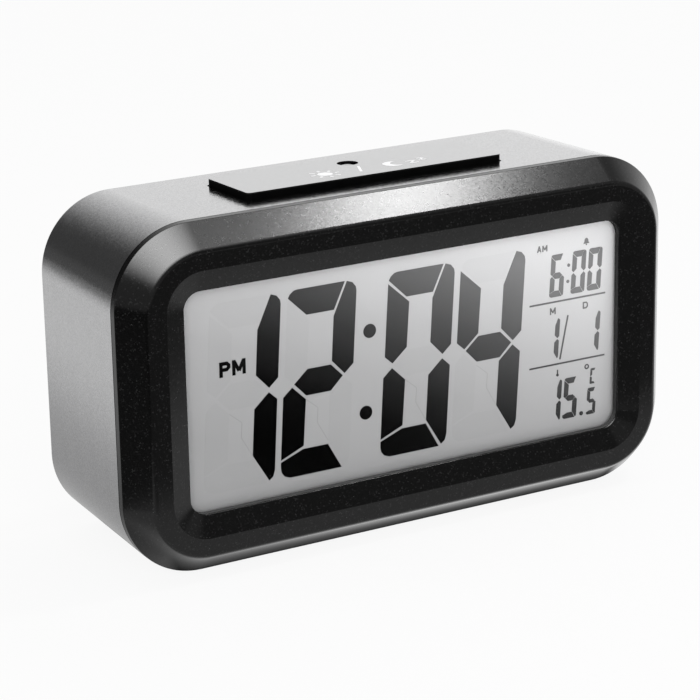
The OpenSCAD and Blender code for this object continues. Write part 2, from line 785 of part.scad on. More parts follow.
// Board behind the rear buttons and slide knobs
module button_board() {
  color("#1f5a3a") upright() difference() {
    slab(keys_d, keys_back)
      polygon([[-keys_x, keys_lo], [keys_leg, keys_lo], [keys_leg, keys_step], [keys_x, keys_step],
        [keys_x, keys_hi], [-keys_x, keys_hi]]);
    for (p = pillar_at) rod(p[0], p[1], keys_d - 1, keys_back + 1, fix_r + 0.2);
  }
}

module tact_switches() {
  color("#2a2a2c") upright() for (x = button_x) {
    block(x - switch_w / 2, x + switch_w / 2, button_y - switch_w / 2, button_y + switch_w / 2,
      keys_back, keys_back + switch_h);
    rod(x, button_y, keys_back + switch_h - 0.5, keys_back + switch_h + stub_h, stub_r);
  }
}

// Slide switch cans with a trough for the knob's foot
module slide_switches() {
  trough = [slider_foot[0] + slider_travel + 2 * slider_play, slider_foot[1] + 2 * slider_play];
  color("#b9bcc0") upright() for (y = slider_y) difference() {
    block(slider_x - slider_can[0] / 2, slider_x + slider_can[0] / 2,
      y - slider_can[1] / 2, y + slider_can[1] / 2, keys_back, keys_back + slider_can[2]);
    block(slider_x - trough[0] / 2, slider_x + trough[0] / 2, y - trough[1] / 2, y + trough[1] / 2,
      keys_back + slider_floor, keys_back + slider_can[2] + 1);
  }
}

module button_board_screws() {
  color("#b8b6ae") upright() for (p = pillar_at) translate([p[0], p[1], 0])
    depth_screw(keys_d, keys_back + pillar_bite, fix_r, fix_head_r, fix_head_h);
}

module button_ribbon() {
  edge = button_x[1] - ribbon_w;
  top = button_y - ribbon_drop;
  color("#9a9a98") upright()
    block(edge - ribbon_w / 2, edge + ribbon_w / 2, top - ribbon_t, top, board_back, keys_d);
}

// Rear push button with a flange inside the cover and a stem to its switch
module push_button(x) {
  stem_end = keys_back + switch_h + stub_h + button_travel + press_gap;
  color("#3a3b3f") upright() {
    rod(x, button_y, cover_d - button_flange_t, case_d, button_r);
    rod(x, button_y, cover_d - button_flange_t, cover_d, button_r + button_flange);
    rod(x, button_y, stem_end, cover_d, stem_r);
  }
}

module time_button() {
  push_button(button_x[0]);
}

module alarm_button() {
  push_button(button_x[1]);
}

module up_button() {
  push_button(button_x[2]);
}

module down_button() {
  push_button(button_x[3]);
}

// Slide knob standing at the left end of its travel
module slide_knob(y) {
  x = slider_x - slider_travel / 2;
  color("#d8d8d4") upright() {
    block(x - slider_foot[0] / 2, x + slider_foot[0] / 2, y - slider_foot[1] / 2, y + slider_foot[1] / 2,
      keys_back + slider_floor, cover_d);
    block(x - knob_w / 2, x + knob_w / 2, y - knob_h / 2, y + knob_h / 2, cover_d - 1.5, case_d);
  }
}

module alarm_slider() {
  slide_knob(slider_y[0]);
}

module sensor_slider() {
  slide_knob(slider_y[1]);
}

module buzzer() {
  color("#151515") upright() rod(buzzer_x, buzzer_y, cover_d - buzzer_h, cover_d, buzzer_r);
}

// Wires from the cells and the sounder to the main board
module wire_leads() {
  lead_x = bay_hx - plate_metal / 2;
  color("#a02020") upright() {
    rod(-lead_x, bay_y + cell_pitch, board_back, bay_front - tail_l, wire_r);
    rod(lead_x, bay_y - cell_pitch, board_back, bay_front - tail_l, wire_r);
    for (s = [-1, 1]) rod(buzzer_x + buzzer_pins / 2 * s, buzzer_y, board_back, cover_d - buzzer_h, wire_r);
  }
}

// Battery door that tilts on its round lower edge, with two tabs behind the lower lip
module battery_door() {
  tab_back = cover_d - tab_gap;
  neck_in = door_in + 0.1;
  neck_lo = door_lo + 0.7;
  neck_hi = neck_lo + 1.5;
  tab_profile = [[neck_in, neck_hi], [tab_back - tab_t, neck_hi], [tab_back - tab_t, door_lo - tab_reach],
    [tab_back, door_lo - tab_reach], [tab_back, neck_lo], [neck_in, neck_lo]];
  color("#26272a") upright() {
    block(-door_hx, door_hx, door_lo + nose_r, door_hi, door_in, cover_back);
    pin(-door_hx, door_hx, door_lo + nose_r, cover_back - nose_r, nose_r);
    for (s = [-1, 1]) side(s * tab_x - tab_w / 2, s * tab_x + tab_w / 2, tab_profile);
  }
}

// Cell in its bay; way is +1 with the nub to the right
module cell(row, way) {
  nub_l = 0.8;
  nub_r = 1.9;
  end_r = 0.6;
  body_l = cell_l - nub_l;
  tip = bay_hx - plate_metal;
  r = cell_d / 2;
  upright() translate([0, bay_y + row * cell_pitch, case_d / 2 - cell_axis])
    rotate([0, way * 90, 0]) translate([0, 0, tip - cell_l])
    rotate_extrude() polygon([[0, 0], [r - end_r, 0], [r, end_r], [r, body_l - end_r],
      [r - end_r, body_l], [nub_r, body_l], [nub_r, cell_l], [0, cell_l]]);
}

module battery_1() {
  color("#3c4a66") cell(1, 1);
}

module battery_2() {
  color("#3c4a66") cell(0, -1);
}

module battery_3() {
  color("#3c4a66") cell(-1, 1);
}

// Conical springs at the flat ends of the cells
module battery_springs() {
  color("#c8c8c8") upright() for (row = [-1, 0, 1]) {
    way = row == 0 ? 1 : -1;
    translate([way * (bay_hx - plate_metal), bay_y + row * cell_pitch, case_d / 2 - cell_axis])
      rotate([0, -way * 90, 0])
      coil(cell_spring_r, cell_spring_tip, spring_wire, cell_spring, cell_spring_turns);
  }
}

// Contact plates at both ends of the bay, two of them with a tail through its floor
module battery_contacts() {
  half = cell_d / 2 - 0.6;
  lo = cell_axis - half;
  hi = cell_axis + half;
  inner = bay_hx - plate_metal;
  top_row = bay_y + cell_pitch;
  low_row = bay_y - cell_pitch;
  color("#d0c9b4") upright() {
    block(-bay_hx, -inner, top_row - half, top_row + half, lo, hi);
    block(-bay_hx, -inner, top_row - tail_w / 2, top_row + tail_w / 2, bay_front - tail_l, lo + 1);
    block(-bay_hx, -inner, low_row - half, bay_y + half, lo, hi);
    block(inner, bay_hx, bay_y - half, top_row + half, lo, hi);
    block(inner, bay_hx, low_row - half, low_row + half, lo, hi);
    block(inner, bay_hx, low_row - tail_w / 2, low_row + tail_w / 2, bay_front - tail_l, lo + 1);
  }
}

module case_screws() {
  color("#8d8f92") upright() at_four(column_x, column_y)
    depth_screw(cover_back - head_h - 0.2, column_end - screw_bite, screw_r, head_r, head_h);
}

// Rubber feet that level the drafted underside
module feet() {
  color("#1c1c1c") upright() for (s = [-1, 1], d = [foot_front, foot_back])
    post(s * foot_x, d, -mid_z, -top_y(d) + foot_sink, foot_r);
}

front_bezel();
case_shell();
rear_cover();
display_window();
lcd_panel();
lcd_segments();
lcd_holder();
light_guide();
reflector_film();
zebra_strips();
backlight_leds();
main_board();
chip_blob();
crystal();
capacitor();
temp_sensor();
board_screws();
snooze_bar();
snooze_plate();
sensor_lens();
snooze_springs();
snooze_board();
snooze_switch();
light_sensor();
snooze_board_screws();
snooze_ribbon();
button_board();
tact_switches();
slide_switches();
button_board_screws();
button_ribbon();
time_button();
alarm_button();
up_button();
down_button();
alarm_slider();
sensor_slider();
buzzer();
wire_leads();
battery_door();
battery_1();
battery_2();
battery_3();
battery_springs();
battery_contacts();
case_screws();
feet();
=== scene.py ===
"""Looks of the digital alarm clock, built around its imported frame. Design sizes are in millimetres."""
import math

import bmesh
import bpy
from mathutils import Matrix, Vector

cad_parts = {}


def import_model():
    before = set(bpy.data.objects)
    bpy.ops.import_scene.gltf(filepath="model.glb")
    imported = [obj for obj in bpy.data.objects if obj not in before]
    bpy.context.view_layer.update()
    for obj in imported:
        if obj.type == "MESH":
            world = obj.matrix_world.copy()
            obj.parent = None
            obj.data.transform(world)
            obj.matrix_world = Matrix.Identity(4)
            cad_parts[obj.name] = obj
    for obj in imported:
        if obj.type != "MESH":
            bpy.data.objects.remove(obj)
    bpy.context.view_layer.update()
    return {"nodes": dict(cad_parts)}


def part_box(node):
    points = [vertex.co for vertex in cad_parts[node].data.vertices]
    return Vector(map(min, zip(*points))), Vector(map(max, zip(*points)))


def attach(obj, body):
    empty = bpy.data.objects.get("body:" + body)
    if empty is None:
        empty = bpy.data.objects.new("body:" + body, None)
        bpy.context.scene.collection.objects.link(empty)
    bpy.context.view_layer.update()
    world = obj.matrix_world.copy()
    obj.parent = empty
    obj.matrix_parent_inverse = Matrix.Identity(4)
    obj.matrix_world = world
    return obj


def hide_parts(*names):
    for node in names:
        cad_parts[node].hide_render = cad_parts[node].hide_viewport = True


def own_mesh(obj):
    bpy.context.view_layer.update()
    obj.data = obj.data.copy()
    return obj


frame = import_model()
nodes = frame["nodes"]

MM = 0.001
BEZEL_LOW, BEZEL_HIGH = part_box("front_bezel")
FRONT_Y = BEZEL_LOW.y
MID_Z = (BEZEL_LOW.z + BEZEL_HIGH.z) / 2
HALF_W = (BEZEL_HIGH.x - BEZEL_LOW.x) / 2 / MM
HALF_H = (BEZEL_HIGH.z - BEZEL_LOW.z) / 2 / MM
CASE_D = (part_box("case_shell")[1].y - FRONT_Y) / MM
SEAM_D = (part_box("case_shell")[0].y - FRONT_Y) / MM
COVER_D = (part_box("rear_cover")[1].y - FRONT_Y) / MM

# Outline and bezel
CORNER_R = 17.5
CHAMFER_W, CHAMFER_D = 4.8, 5.85
FACE_IN, OPEN_IN = 8.9, 13.7
SLOPE_D, WINDOW_D = 1.8, 3.4
POCKET_IN, RIB_IN, RIB_D = 10.4, 8.8, 5.0
SKIN, SKIRT_OUT, SKIRT_IN, SKIRT_D = 2.2, 2.4, 3.9, 10.5
EDGE_R, FACE_R, LIP_R = 0.3, 1.6, 0.35

# Sleeve
WALL, DRAFT, GROOVE_IN, SEAM_W = 2.2, 1.15, 0.5, 0.25
BACK_EDGE, LEDGE, COVER_T = 0.8, 1.4, 2.2

# Press bar
PLATE_LOW, PLATE_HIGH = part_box("snooze_plate")
BAR_W, BAR_L = (PLATE_HIGH.x - PLATE_LOW.x) / MM, (PLATE_HIGH.y - PLATE_LOW.y) / MM
BAR_D = ((PLATE_HIGH.y + PLATE_LOW.y) / 2 - FRONT_Y) / MM
BAR_R, BAR_GAP, BAR_RISE = 1.0, 0.35, 1.58

# Display
PANEL_D = (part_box("lcd_panel")[0].y - FRONT_Y) / MM
PRINT_T = 0.02


def place(x, d, h):
    """Point from its width, depth behind the front plane and height above the middle."""
    return Vector((x * MM, FRONT_Y + d * MM, MID_Z + h * MM))


def sleeve_inset(d):
    """Inset of the drafted sleeve at a depth."""
    return DRAFT * (d - SEAM_D) / (CASE_D - SEAM_D)


def fillet(points, steps=5):
    """Closed profile of (inset, depth, radius) with its corners rounded."""
    out = []
    for i, (x, y, r) in enumerate(points):
        here = Vector((x, y))
        if r == 0:
            out.append(here)
            continue
        back = (Vector(points[i - 1][:2]) - here).normalized()
        ahead = (Vector(points[(i + 1) % len(points)][:2]) - here).normalized()
        half = back.angle(ahead) / 2
        centre = here + (back + ahead).normalized() * (r / math.sin(half))
        start = here + back * (r / math.tan(half)) - centre
        end = here + ahead * (r / math.tan(half)) - centre
        for k in range(steps + 1):
            out.append(centre + start.slerp(end, k / steps).normalized() * r)
    return out


def rounded_loop(half_w, half_h, radius, steps):
    """Points of a rounded rectangle, counter-clockwise from its right side."""
    loop = []
    for k, (sx, sy) in enumerate(((1, 1), (-1, 1), (-1, -1), (1, -1))):
        for i in range(steps + 1):
            a = math.radians(90 * k + 90 * i / steps)
            x = sx * (half_w - radius) + radius * math.cos(a)
            loop.append((x, sy * (half_h - radius) + radius * math.sin(a)))
    return loop


SHARP = 40


def make_object(name, bm, sharp=SHARP):
    """Object from a bmesh, smooth except where faces meet at a sharper angle."""
    bmesh.ops.recalc_face_normals(bm, faces=bm.faces)
    mesh = bpy.data.meshes.new(name)
    bm.to_mesh(mesh)
    bm.free()
    mesh.shade_smooth()
    mesh.set_sharp_from_angle(angle=math.radians(sharp))
    obj = bpy.data.objects.new(name, mesh)
    bpy.context.scene.collection.objects.link(obj)
    return obj


def bridge(bm, loops, closed):
    """Quads between consecutive loops of points."""
    rings = [[bm.verts.new(p) for p in loop] for loop in loops]
    count = len(rings[0])
    for i in range(len(rings) if closed else len(rings) - 1):
        a, b = rings[i], rings[(i + 1) % len(rings)]
        for k in range(count):
            m = (k + 1) % count
            bm.faces.new((a[k], a[m], b[m], b[k]))
    return rings


def tube(bm, loops):
    """Closed tube through loops of points, capped at both ends."""
    rings = bridge(bm, loops, False)
    for ring in (rings[0], rings[-1]):
        bm.faces.new(ring)


def swept_ring(name, profile, steps=20):
    """Closed profile of insets and depths swept round the case outline."""
    bm = bmesh.new()
    loops = []
    for inset, d in fillet(profile):
        loop = rounded_loop(HALF_W - inset, HALF_H - inset, CORNER_R - inset, steps)
        loops.append([place(x, d, h) for x, h in loop])
    bridge(bm, loops, True)
    return make_object(name, bm)


def lathe(bm, profile, spin, segments=48):
    """Profile of (radius, travel) turned about Z, then moved by the matrix."""
    loops = []
    for r, t in profile:
        turn = [2 * math.pi * k / segments for k in range(segments)]
        loops.append([spin @ Vector((r * math.cos(a) * MM, r * math.sin(a) * MM, t * MM)) for a in turn])
    tube(bm, loops)


def flat_print(bm, outline, to_point, lift=PRINT_T):
    """Thin closed shape: an outline of two coordinates put on a surface and lifted off it."""
    low = [bm.verts.new(to_point(x, y, 0)) for x, y in outline]
    high = [bm.verts.new(to_point(x, y, lift)) for x, y in outline]
    bm.faces.new(low)
    bm.faces.new(high[::-1])
    for i in range(len(low)):
        j = (i + 1) % len(low)
        bm.faces.new((low[i], high[i], high[j], low[j]))


def disc(cx, cy, r, start=0, end=360, steps=24):
    """Outline of a round patch or of a part of one."""
    count = steps if end - start == 360 else steps + 1
    turn = [math.radians(start + (end - start) * k / steps) for k in range(count)]
    return [(cx + r * math.cos(a), cy + r * math.sin(a)) for a in turn]


def bar_stroke(ax, ay, bx, by, w):
    """Outline of a straight stroke."""
    along = Vector((bx - ax, by - ay)).normalized() * (w / 2)
    across = Vector((-along.y, along.x))
    return [(ax + across.x, ay + across.y), (bx + across.x, by + across.y),
            (bx - across.x, by - across.y), (ax - across.x, ay - across.y)]


def cut(obj, cutter):
    """Takes the cutter out of the object's mesh and drops the cutter."""
    mod = obj.modifiers.new("cut", "BOOLEAN")
    mod.object = cutter
    mod.operation = "DIFFERENCE"
    mod.solver = "EXACT"
    bpy.context.view_layer.update()
    done = bpy.data.meshes.new_from_object(obj.evaluated_get(bpy.context.evaluated_depsgraph_get()))
    obj.modifiers.remove(mod)
    obj.data = done
    bpy.data.objects.remove(cutter)
    done.shade_smooth()
    done.set_sharp_from_angle(angle=math.radians(SHARP))


def flatten_normals(obj):
    """Keeps large flat faces flat in the shading beside small rounded edges."""
    mod = obj.modifiers.new("flat_faces", "WEIGHTED_NORMAL")
    mod.weight = 80
    mod.keep_sharp = True


def soften(node, width, segments=2):
    """Small rounded edges on a CAD node."""
    obj = nodes[node]
    weld = obj.modifiers.new("weld", "WELD")
    weld.merge_threshold = 0.002 * MM
    bevel = obj.modifiers.new("edges", "BEVEL")
    bevel.width = width * MM
    bevel.segments = segments
    bevel.limit_method = "ANGLE"
    bevel.angle_limit = math.radians(35)
    flatten_normals(obj)


def paint(obj, material):
    """Gives an object one material."""
    obj.data.materials.clear()
    obj.data.materials.append(material)


def dress(obj, material, body, slot, *replaced):
    """Finish of a new piece: material, body and the CAD nodes that it stands for; the slot argument is not
    used.
    """
    paint(obj, material)
    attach(obj, body)
    if replaced:
        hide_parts(*replaced)
    return obj


# Material helpers

def new_material(name):
    """Material with its tree and main shader."""
    mat = bpy.data.materials.new(name)
    mat.use_nodes = True
    tree = mat.node_tree
    return mat, tree, tree.nodes["Principled BSDF"]


def put(tree, kind, **values):
    """Node of a kind with some of its inputs set."""
    node = tree.nodes.new(kind)
    for key, value in values.items():
        node.inputs[key.replace("_", " ")].default_value = value
    return node


def noise(tree, scale, detail=3.0):
    """Noise in object space; its scale counts features per metre."""
    where = put(tree, "ShaderNodeTexCoord")
    field = put(tree, "ShaderNodeTexNoise", Scale=scale, Detail=detail)
    tree.links.new(where.outputs["Object"], field.inputs["Vector"])
    return field.outputs["Fac"]


def ranged(tree, value, low, high, to_low, to_high, smooth=True):
    """Value mapped from one range to another."""
    node = put(tree, "ShaderNodeMapRange", From_Min=low, From_Max=high, To_Min=to_low, To_Max=to_high)
    node.interpolation_type = "SMOOTHSTEP" if smooth else "LINEAR"
    tree.links.new(value, node.inputs["Value"])
    return node.outputs["Result"]


def ramp(tree, value, stops):
    """Colours along a value."""
    node = put(tree, "ShaderNodeValToRGB")
    marks = node.color_ramp.elements
    while len(marks) < len(stops):
        marks.new(0.5)
    for mark, (where, colour) in zip(marks, stops):
        mark.position = where
        mark.color = (*colour, 1.0)
    tree.links.new(value, node.inputs["Fac"])
    return node.outputs["Color"]


def bump(tree, shader, height, strength, depth):
    """Fine relief of a given depth in millimetres."""
    node = put(tree, "ShaderNodeBump", Strength=strength, Distance=depth * MM)
    tree.links.new(height, node.inputs["Height"])
    tree.links.new(node.outputs["Normal"], shader.inputs["Normal"])


def vector_math(tree, operation, first, second=(0.0, 0.0, 0.0)):
    """Vector step on a socket and a second socket or constant."""
    node = put(tree, "ShaderNodeVectorMath")
    node.operation = operation
    tree.links.new(first, node.inputs[0])
    if isinstance(second, bpy.types.NodeSocket):
        tree.links.new(second, node.inputs[1])
    else:
        node.inputs[1].default_value = second
    return node


def number_math(tree, operation, first, second):
    """Number step on a socket and a second socket or constant."""
    node = put(tree, "ShaderNodeMath")
    node.operation = operation
    tree.links.new(first, node.inputs[0])
    if isinstance(second, bpy.types.NodeSocket):
        tree.links.new(second, node.inputs[1])
    else:
        node.inputs[1].default_value = second
    return node.outputs["Value"]


def flakes(tree, shader, scale, amount, tones):
    """Fine metal flakes: each small cell leans its own way and takes its own tone."""
    where = put(tree, "ShaderNodeTexCoord")
    cells = put(tree, "ShaderNodeTexVoronoi", Scale=scale)
    tree.links.new(where.outputs["Object"], cells.inputs["Vector"])
    chance = put(tree, "ShaderNodeSeparateColor")
    tree.links.new(cells.outputs["Color"], chance.inputs["Color"])
    stops = [(at, (tone, tone, 1.01 * tone)) for at, tone in tones]
    tree.links.new(ramp(tree, chance.outputs["Red"], stops), shader.inputs["Base Color"])
    facing = put(tree, "ShaderNodeNewGeometry")
    centred = vector_math(tree, "SUBTRACT", cells.outputs["Color"], (0.5, 0.5, 0.5))
    sized = vector_math(tree, "MULTIPLY", centred.outputs["Vector"], (amount, amount, amount))
    leaned = vector_math(tree, "ADD", facing.outputs["Normal"], sized.outputs["Vector"])
    unit = vector_math(tree, "NORMALIZE", leaned.outputs["Vector"])
    tree.links.new(unit.outputs["Vector"], shader.inputs["Normal"])


def speckled(tree, shader, scale, dark, light):
    """Base colour that varies a little between two tones."""
    tree.links.new(ramp(tree, noise(tree, scale), ((0.3, dark), (0.7, light))), shader.inputs["Base Color"])


def uneven_gloss(tree, shader, scale, low, high):
    """Roughness that varies over the surface."""
    tree.links.new(ranged(tree, noise(tree, scale), 0.3, 0.7, low, high), shader.inputs["Roughness"])


def along(tree, direction, low, high, start=0.0, smooth=True):
    """Share that grows to 1 along a direction in object space, between two places in millimetres."""
    where = put(tree, "ShaderNodeTexCoord")
    dot = vector_math(tree, "DOT_PRODUCT", where.outputs["Object"], direction)
    return ranged(tree, dot.outputs["Value"], low * MM, high * MM, start, 1.0, smooth)


# Materials

def graphite():
    """Black paint with fine flakes on the bezel."""
    mat, tree, shader = new_material("graphite_paint")
    uneven_gloss(tree, shader, 700, 0.157, 0.163)
    shader.inputs["Specular IOR Level"].default_value = 0.27
    flakes(tree, shader, 3600, 0.012, ((0.0, 0.0006), (0.75, 0.0012), (0.92, 0.004), (1.0, 0.016)))
    return mat


def silver():
    """Satin silver paint of the sleeve, with fine flakes."""
    mat, tree, shader = new_material("silver_paint")
    uneven_gloss(tree, shader, 500, 0.13, 0.16)
    shader.inputs["Metallic"].default_value = 1.0
    flakes(tree, shader, 4200, 0.035, ((0.0, 0.35), (0.5, 0.395), (1.0, 0.44)))
    return mat


def capped_silver():
    """Silver film on upward faces over black plastic sides."""
    mat, tree, shader = new_material("silver_film")
    facing = put(tree, "ShaderNodeNewGeometry")
    split = put(tree, "ShaderNodeSeparateXYZ")
    tree.links.new(facing.outputs["Normal"], split.inputs[0])
    top = ranged(tree, split.outputs["Z"], 0.8, 0.9, 0.0, 1.0)
    grain = number_math(tree, "MULTIPLY", top, ranged(tree, noise(tree, 3000), 0.3, 0.7, 0.94, 1.0))
    tree.links.new(ramp(tree, grain, ((0.0, (0.003, 0.003, 0.003)), (1.0, (0.47, 0.47, 0.473)))),
                   shader.inputs["Base Color"])
    tree.links.new(top, shader.inputs["Metallic"])
    uneven_gloss(tree, shader, 1500, 0.24, 0.27)
    shader.inputs["Specular IOR Level"].default_value = 0.3
    return mat


def moulded(name, dark, light, rough, grain=2200, strength=0.25):
    """Moulded plastic with a fine eroded texture."""
    mat, tree, shader = new_material(name)
    speckled(tree, shader, 900, dark, light)
    uneven_gloss(tree, shader, 1200, rough - 0.06, rough + 0.06)
    bump(tree, shader, noise(tree, grain, 5.0), strength, 0.05)
    return mat


def gloss_black():
    """Deep black plastic of the press bar."""
    mat, tree, shader = new_material("gloss_black")
    speckled(tree, shader, 400, (0.0012, 0.0012, 0.0013), (0.0025, 0.0025, 0.0026))
    uneven_gloss(tree, shader, 300, 0.4, 0.48)
    shader.inputs["Specular IOR Level"].default_value = 0.03
    return mat


def lens():
    """Dark clear lens over the light sensor."""
    mat, tree, shader = new_material("dark_lens")
    speckled(tree, shader, 500, (0.002, 0.002, 0.0025), (0.004, 0.004, 0.005))
    uneven_gloss(tree, shader, 300, 0.03, 0.06)
    shader.inputs["Coat Weight"].default_value = 1.0
    return mat


def clear_window():
    """Clear window: lets light through and mirrors a little at its faces."""
    mat, tree, shader = new_material("clear_window")
    out = tree.nodes["Material Output"]
    tree.nodes.remove(shader)
    through = put(tree, "ShaderNodeBsdfTransparent")
    mirror = put(tree, "ShaderNodeBsdfGlossy")
    tree.links.new(ranged(tree, noise(tree, 120), 0.3, 0.7, 0.02, 0.05), mirror.inputs["Roughness"])
    edge = put(tree, "ShaderNodeFresnel", IOR=1.06)
    mix = put(tree, "ShaderNodeMixShader")
    tree.links.new(edge.outputs["Fac"], mix.inputs[0])
    tree.links.new(through.outputs["BSDF"], mix.inputs[1])
    tree.links.new(mirror.outputs["BSDF"], mix.inputs[2])
    tree.links.new(mix.outputs["Shader"], out.inputs["Surface"])
    return mat


# The display's rise toward the upper right is painted light: the cell grows paler and the digits greyer,
# the digits partly by their own fade.
CELL_RISE, INK_RISE = Vector((0.342, 0.0, 0.94)), Vector((0.45, 0.0, 0.893))
DISPLAY_LOW, DISPLAY_HIGH = -25, 30
CELL_TONES = ((0.0, 0.4), (0.36, 0.47), (0.6, 0.58), (1.0, 0.86))
INK_TONES = ((0.0, 0.0009), (0.2, 0.004), (0.35, 0.018), (0.5, 0.05), (0.65, 0.097), (0.8, 0.168),
             (0.97, 0.26))
UNLIT_SHARE, TRACE_SHARE = 0.965, 0.84


def display_tone_with_painted_light(name, stops, rise, rough, gloss):
    """Display layer that grows paler from the lower left to the upper right. On the cell the rise is
    painted light; on the digits it is partly their own fade and partly a painted reflected veil.
    """
    mat, tree, shader = new_material(name)
    mid = rise.z * MID_Z / MM
    share = along(tree, rise, mid + DISPLAY_LOW, mid + DISPLAY_HIGH, smooth=False)
    tones = [(where, (tone, tone, 1.01 * tone)) for where, tone in stops]
    tree.links.new(ramp(tree, share, tones), shader.inputs["Base Color"])
    uneven_gloss(tree, shader, 1500, rough - 0.05, rough + 0.05)
    shader.inputs["Specular IOR Level"].default_value = gloss
    return mat


def cell_layer(name, share=1.0):
    """Pale layer of the display, with its tones scaled by a share."""
    return display_tone_with_painted_light(name, [(at, tone * share) for at, tone in CELL_TONES], CELL_RISE, 0.45, 0.1)


def metal(name, dark, light, rough):
    """Plated metal with fine brushing."""
    mat, tree, shader = new_material(name)
    speckled(tree, shader, 1800, dark, light)
    uneven_gloss(tree, shader, 900, rough - 0.08, rough + 0.08)
    shader.inputs["Metallic"].default_value = 1.0
    bump(tree, shader, noise(tree, 4000), 0.12, 0.02)
    return mat


def board_mask():
    """Solder mask over faint tracks."""
    mat, tree, shader = new_material("board_mask")
    tracks = noise(tree, 350, 0.0)
    stops = ((0.44, (0.012, 0.075, 0.035)), (0.48, (0.03, 0.14, 0.06)), (0.55, (0.012, 0.075, 0.035)))
    tree.links.new(ramp(tree, tracks, stops), shader.inputs["Base Color"])
    uneven_gloss(tree, shader, 900, 0.3, 0.42)
    bump(tree, shader, tracks, 0.2, 0.03)
    return mat


def cell_sleeve(name, way):
    """Plain grey shrink sleeve of a cell with a darker band at its nub end and bare metal ends."""
    mat, tree, shader = new_material(name)
    share = along(tree, (way, 0.0, 0.0), -26, 26)
    steel, wrap, band = (0.55, 0.55, 0.55), (0.3, 0.31, 0.32), (0.07, 0.075, 0.08)
    stops = ((0.0, steel), (0.035, wrap), (0.8, wrap), (0.81, band), (0.975, band), (0.98, steel))
    colour = ramp(tree, share, stops)
    colour.node.color_ramp.interpolation = "CONSTANT"
    tree.links.new(colour, shader.inputs["Base Color"])
    uneven_gloss(tree, shader, 600, 0.25, 0.4)
    shader.inputs["Metallic"].default_value = 0.6
    return mat


def rubber():
    """Matt rubber of the feet."""
    return moulded("foot_rubber", (0.012, 0.012, 0.012), (0.022, 0.022, 0.022), 0.75, 1500, 0.4)


def bright_print():
    """Bright silver printing on the bar."""
    mat, tree, shader = new_material("bright_print")
    speckled(tree, shader, 2500, (0.86, 0.86, 0.87), (0.94, 0.94, 0.95))
    uneven_gloss(tree, shader, 900, 0.26, 0.32)
    shader.inputs["Metallic"].default_value = 1.0
    return mat


def white_print():
    """White printing ink."""
    return moulded("white_print", (0.72, 0.72, 0.72), (0.82, 0.82, 0.82), 0.5, 3000, 0.1)


# Pieces of the case

def bezel_piece(material, wall_material):
    """Framed bezel with rounded edges, window pocket, rear skirt and a matt wall round the window."""
    slant = math.hypot(CHAMFER_W, CHAMFER_D)
    shift, drop = SKIN * CHAMFER_D / slant, SKIN * CHAMFER_W / slant
    under_in = shift + (CHAMFER_D + drop - SKIN) * CHAMFER_W / CHAMFER_D
    under_d = CHAMFER_D + drop - (SKIRT_IN - shift) * CHAMFER_D / CHAMFER_W
    profile = [
        (0, SEAM_D, 0.03), (0, CHAMFER_D, EDGE_R), (CHAMFER_W, 0, FACE_R), (FACE_IN, 0, EDGE_R),
        (OPEN_IN, SLOPE_D, LIP_R), (OPEN_IN, WINDOW_D, 0), (POCKET_IN, WINDOW_D, 0), (POCKET_IN, RIB_D, 0),
        (RIB_IN, RIB_D, 0), (RIB_IN, SKIN, 0), (under_in, SKIN, 0), (SKIRT_IN, under_d, 0),
        (SKIRT_IN, SKIRT_D, 0), (SKIRT_OUT, SKIRT_D, 0), (SKIRT_OUT, SEAM_D, 0),
    ]
    obj = swept_ring("bezel", profile, 24)
    flatten_normals(obj)
    dress(obj, material, "case", "bezel_black", "front_bezel")
    obj.data.materials.append(wall_material)
    for face in obj.data.polygons:
        if abs(face.normal.y) < 0.1 and SLOPE_D < (face.center.y - FRONT_Y) / MM < WINDOW_D:
            face.material_index = 1
    return obj


def bar_cutter():
    """Upright prism of the bar's opening."""
    bm = bmesh.new()
    loop = rounded_loop(BAR_W / 2 + BAR_GAP, BAR_L / 2 + BAR_GAP, BAR_R + BAR_GAP, 8)
    tube(bm, [[place(x, BAR_D + d, h) for x, d in loop] for h in (HALF_H - 2 * WALL - 1, HALF_H + 5)])
    return make_object("bar_cutter", bm)


def sleeve_piece(material):
    """Drafted sleeve with a rounded back rim and the bar's opening."""
    ledge_d = COVER_D - COVER_T
    front_d = SEAM_D + SEAM_W
    profile = [
        (GROOVE_IN, SEAM_D, 0), (GROOVE_IN, front_d, 0), (sleeve_inset(front_d), front_d, 0),
        (sleeve_inset(CASE_D - BACK_EDGE), CASE_D - BACK_EDGE, 0.7), (DRAFT + BACK_EDGE, CASE_D, 0.3),
        (DRAFT + WALL, CASE_D, 0.2), (sleeve_inset(ledge_d) + WALL, ledge_d, 0),
        (sleeve_inset(ledge_d) + WALL + LEDGE, ledge_d, 0),
        (sleeve_inset(ledge_d) + WALL + LEDGE, ledge_d - LEDGE, 0),
        (sleeve_inset(ledge_d - 2 * LEDGE) + WALL, ledge_d - 2 * LEDGE, 0), (WALL, SEAM_D, 0),
    ]
    obj = swept_ring("sleeve", profile, 24)
    cut(obj, bar_cutter())
    flatten_normals(obj)
    return dress(obj, material, "case", "case_silver", "case_shell")


def feet_piece(material):
    """Four rubber feet with rounded rims."""
    low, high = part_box("feet")
    radius, top = 4.5, (high.z - low.z) / MM
    profile = [(radius - 0.5, 0), (radius - 0.15, 0.1), (radius, 0.4), (radius, top)]
    bm = bmesh.new()
    for x in (low.x + radius * MM, high.x - radius * MM):
        for y in (low.y + radius * MM, high.y - radius * MM):
            lathe(bm, profile, Matrix.Translation((x, y, low.z)))
    return dress(make_object("rubber_feet", bm), material, "case", "rubber_black", "feet")


# Pieces of the press bar

def bar_top(x, d, lift):
    """Point on the sloping top of the bar."""
    return place(x, d, HALF_H - sleeve_inset(d) + BAR_RISE + lift)


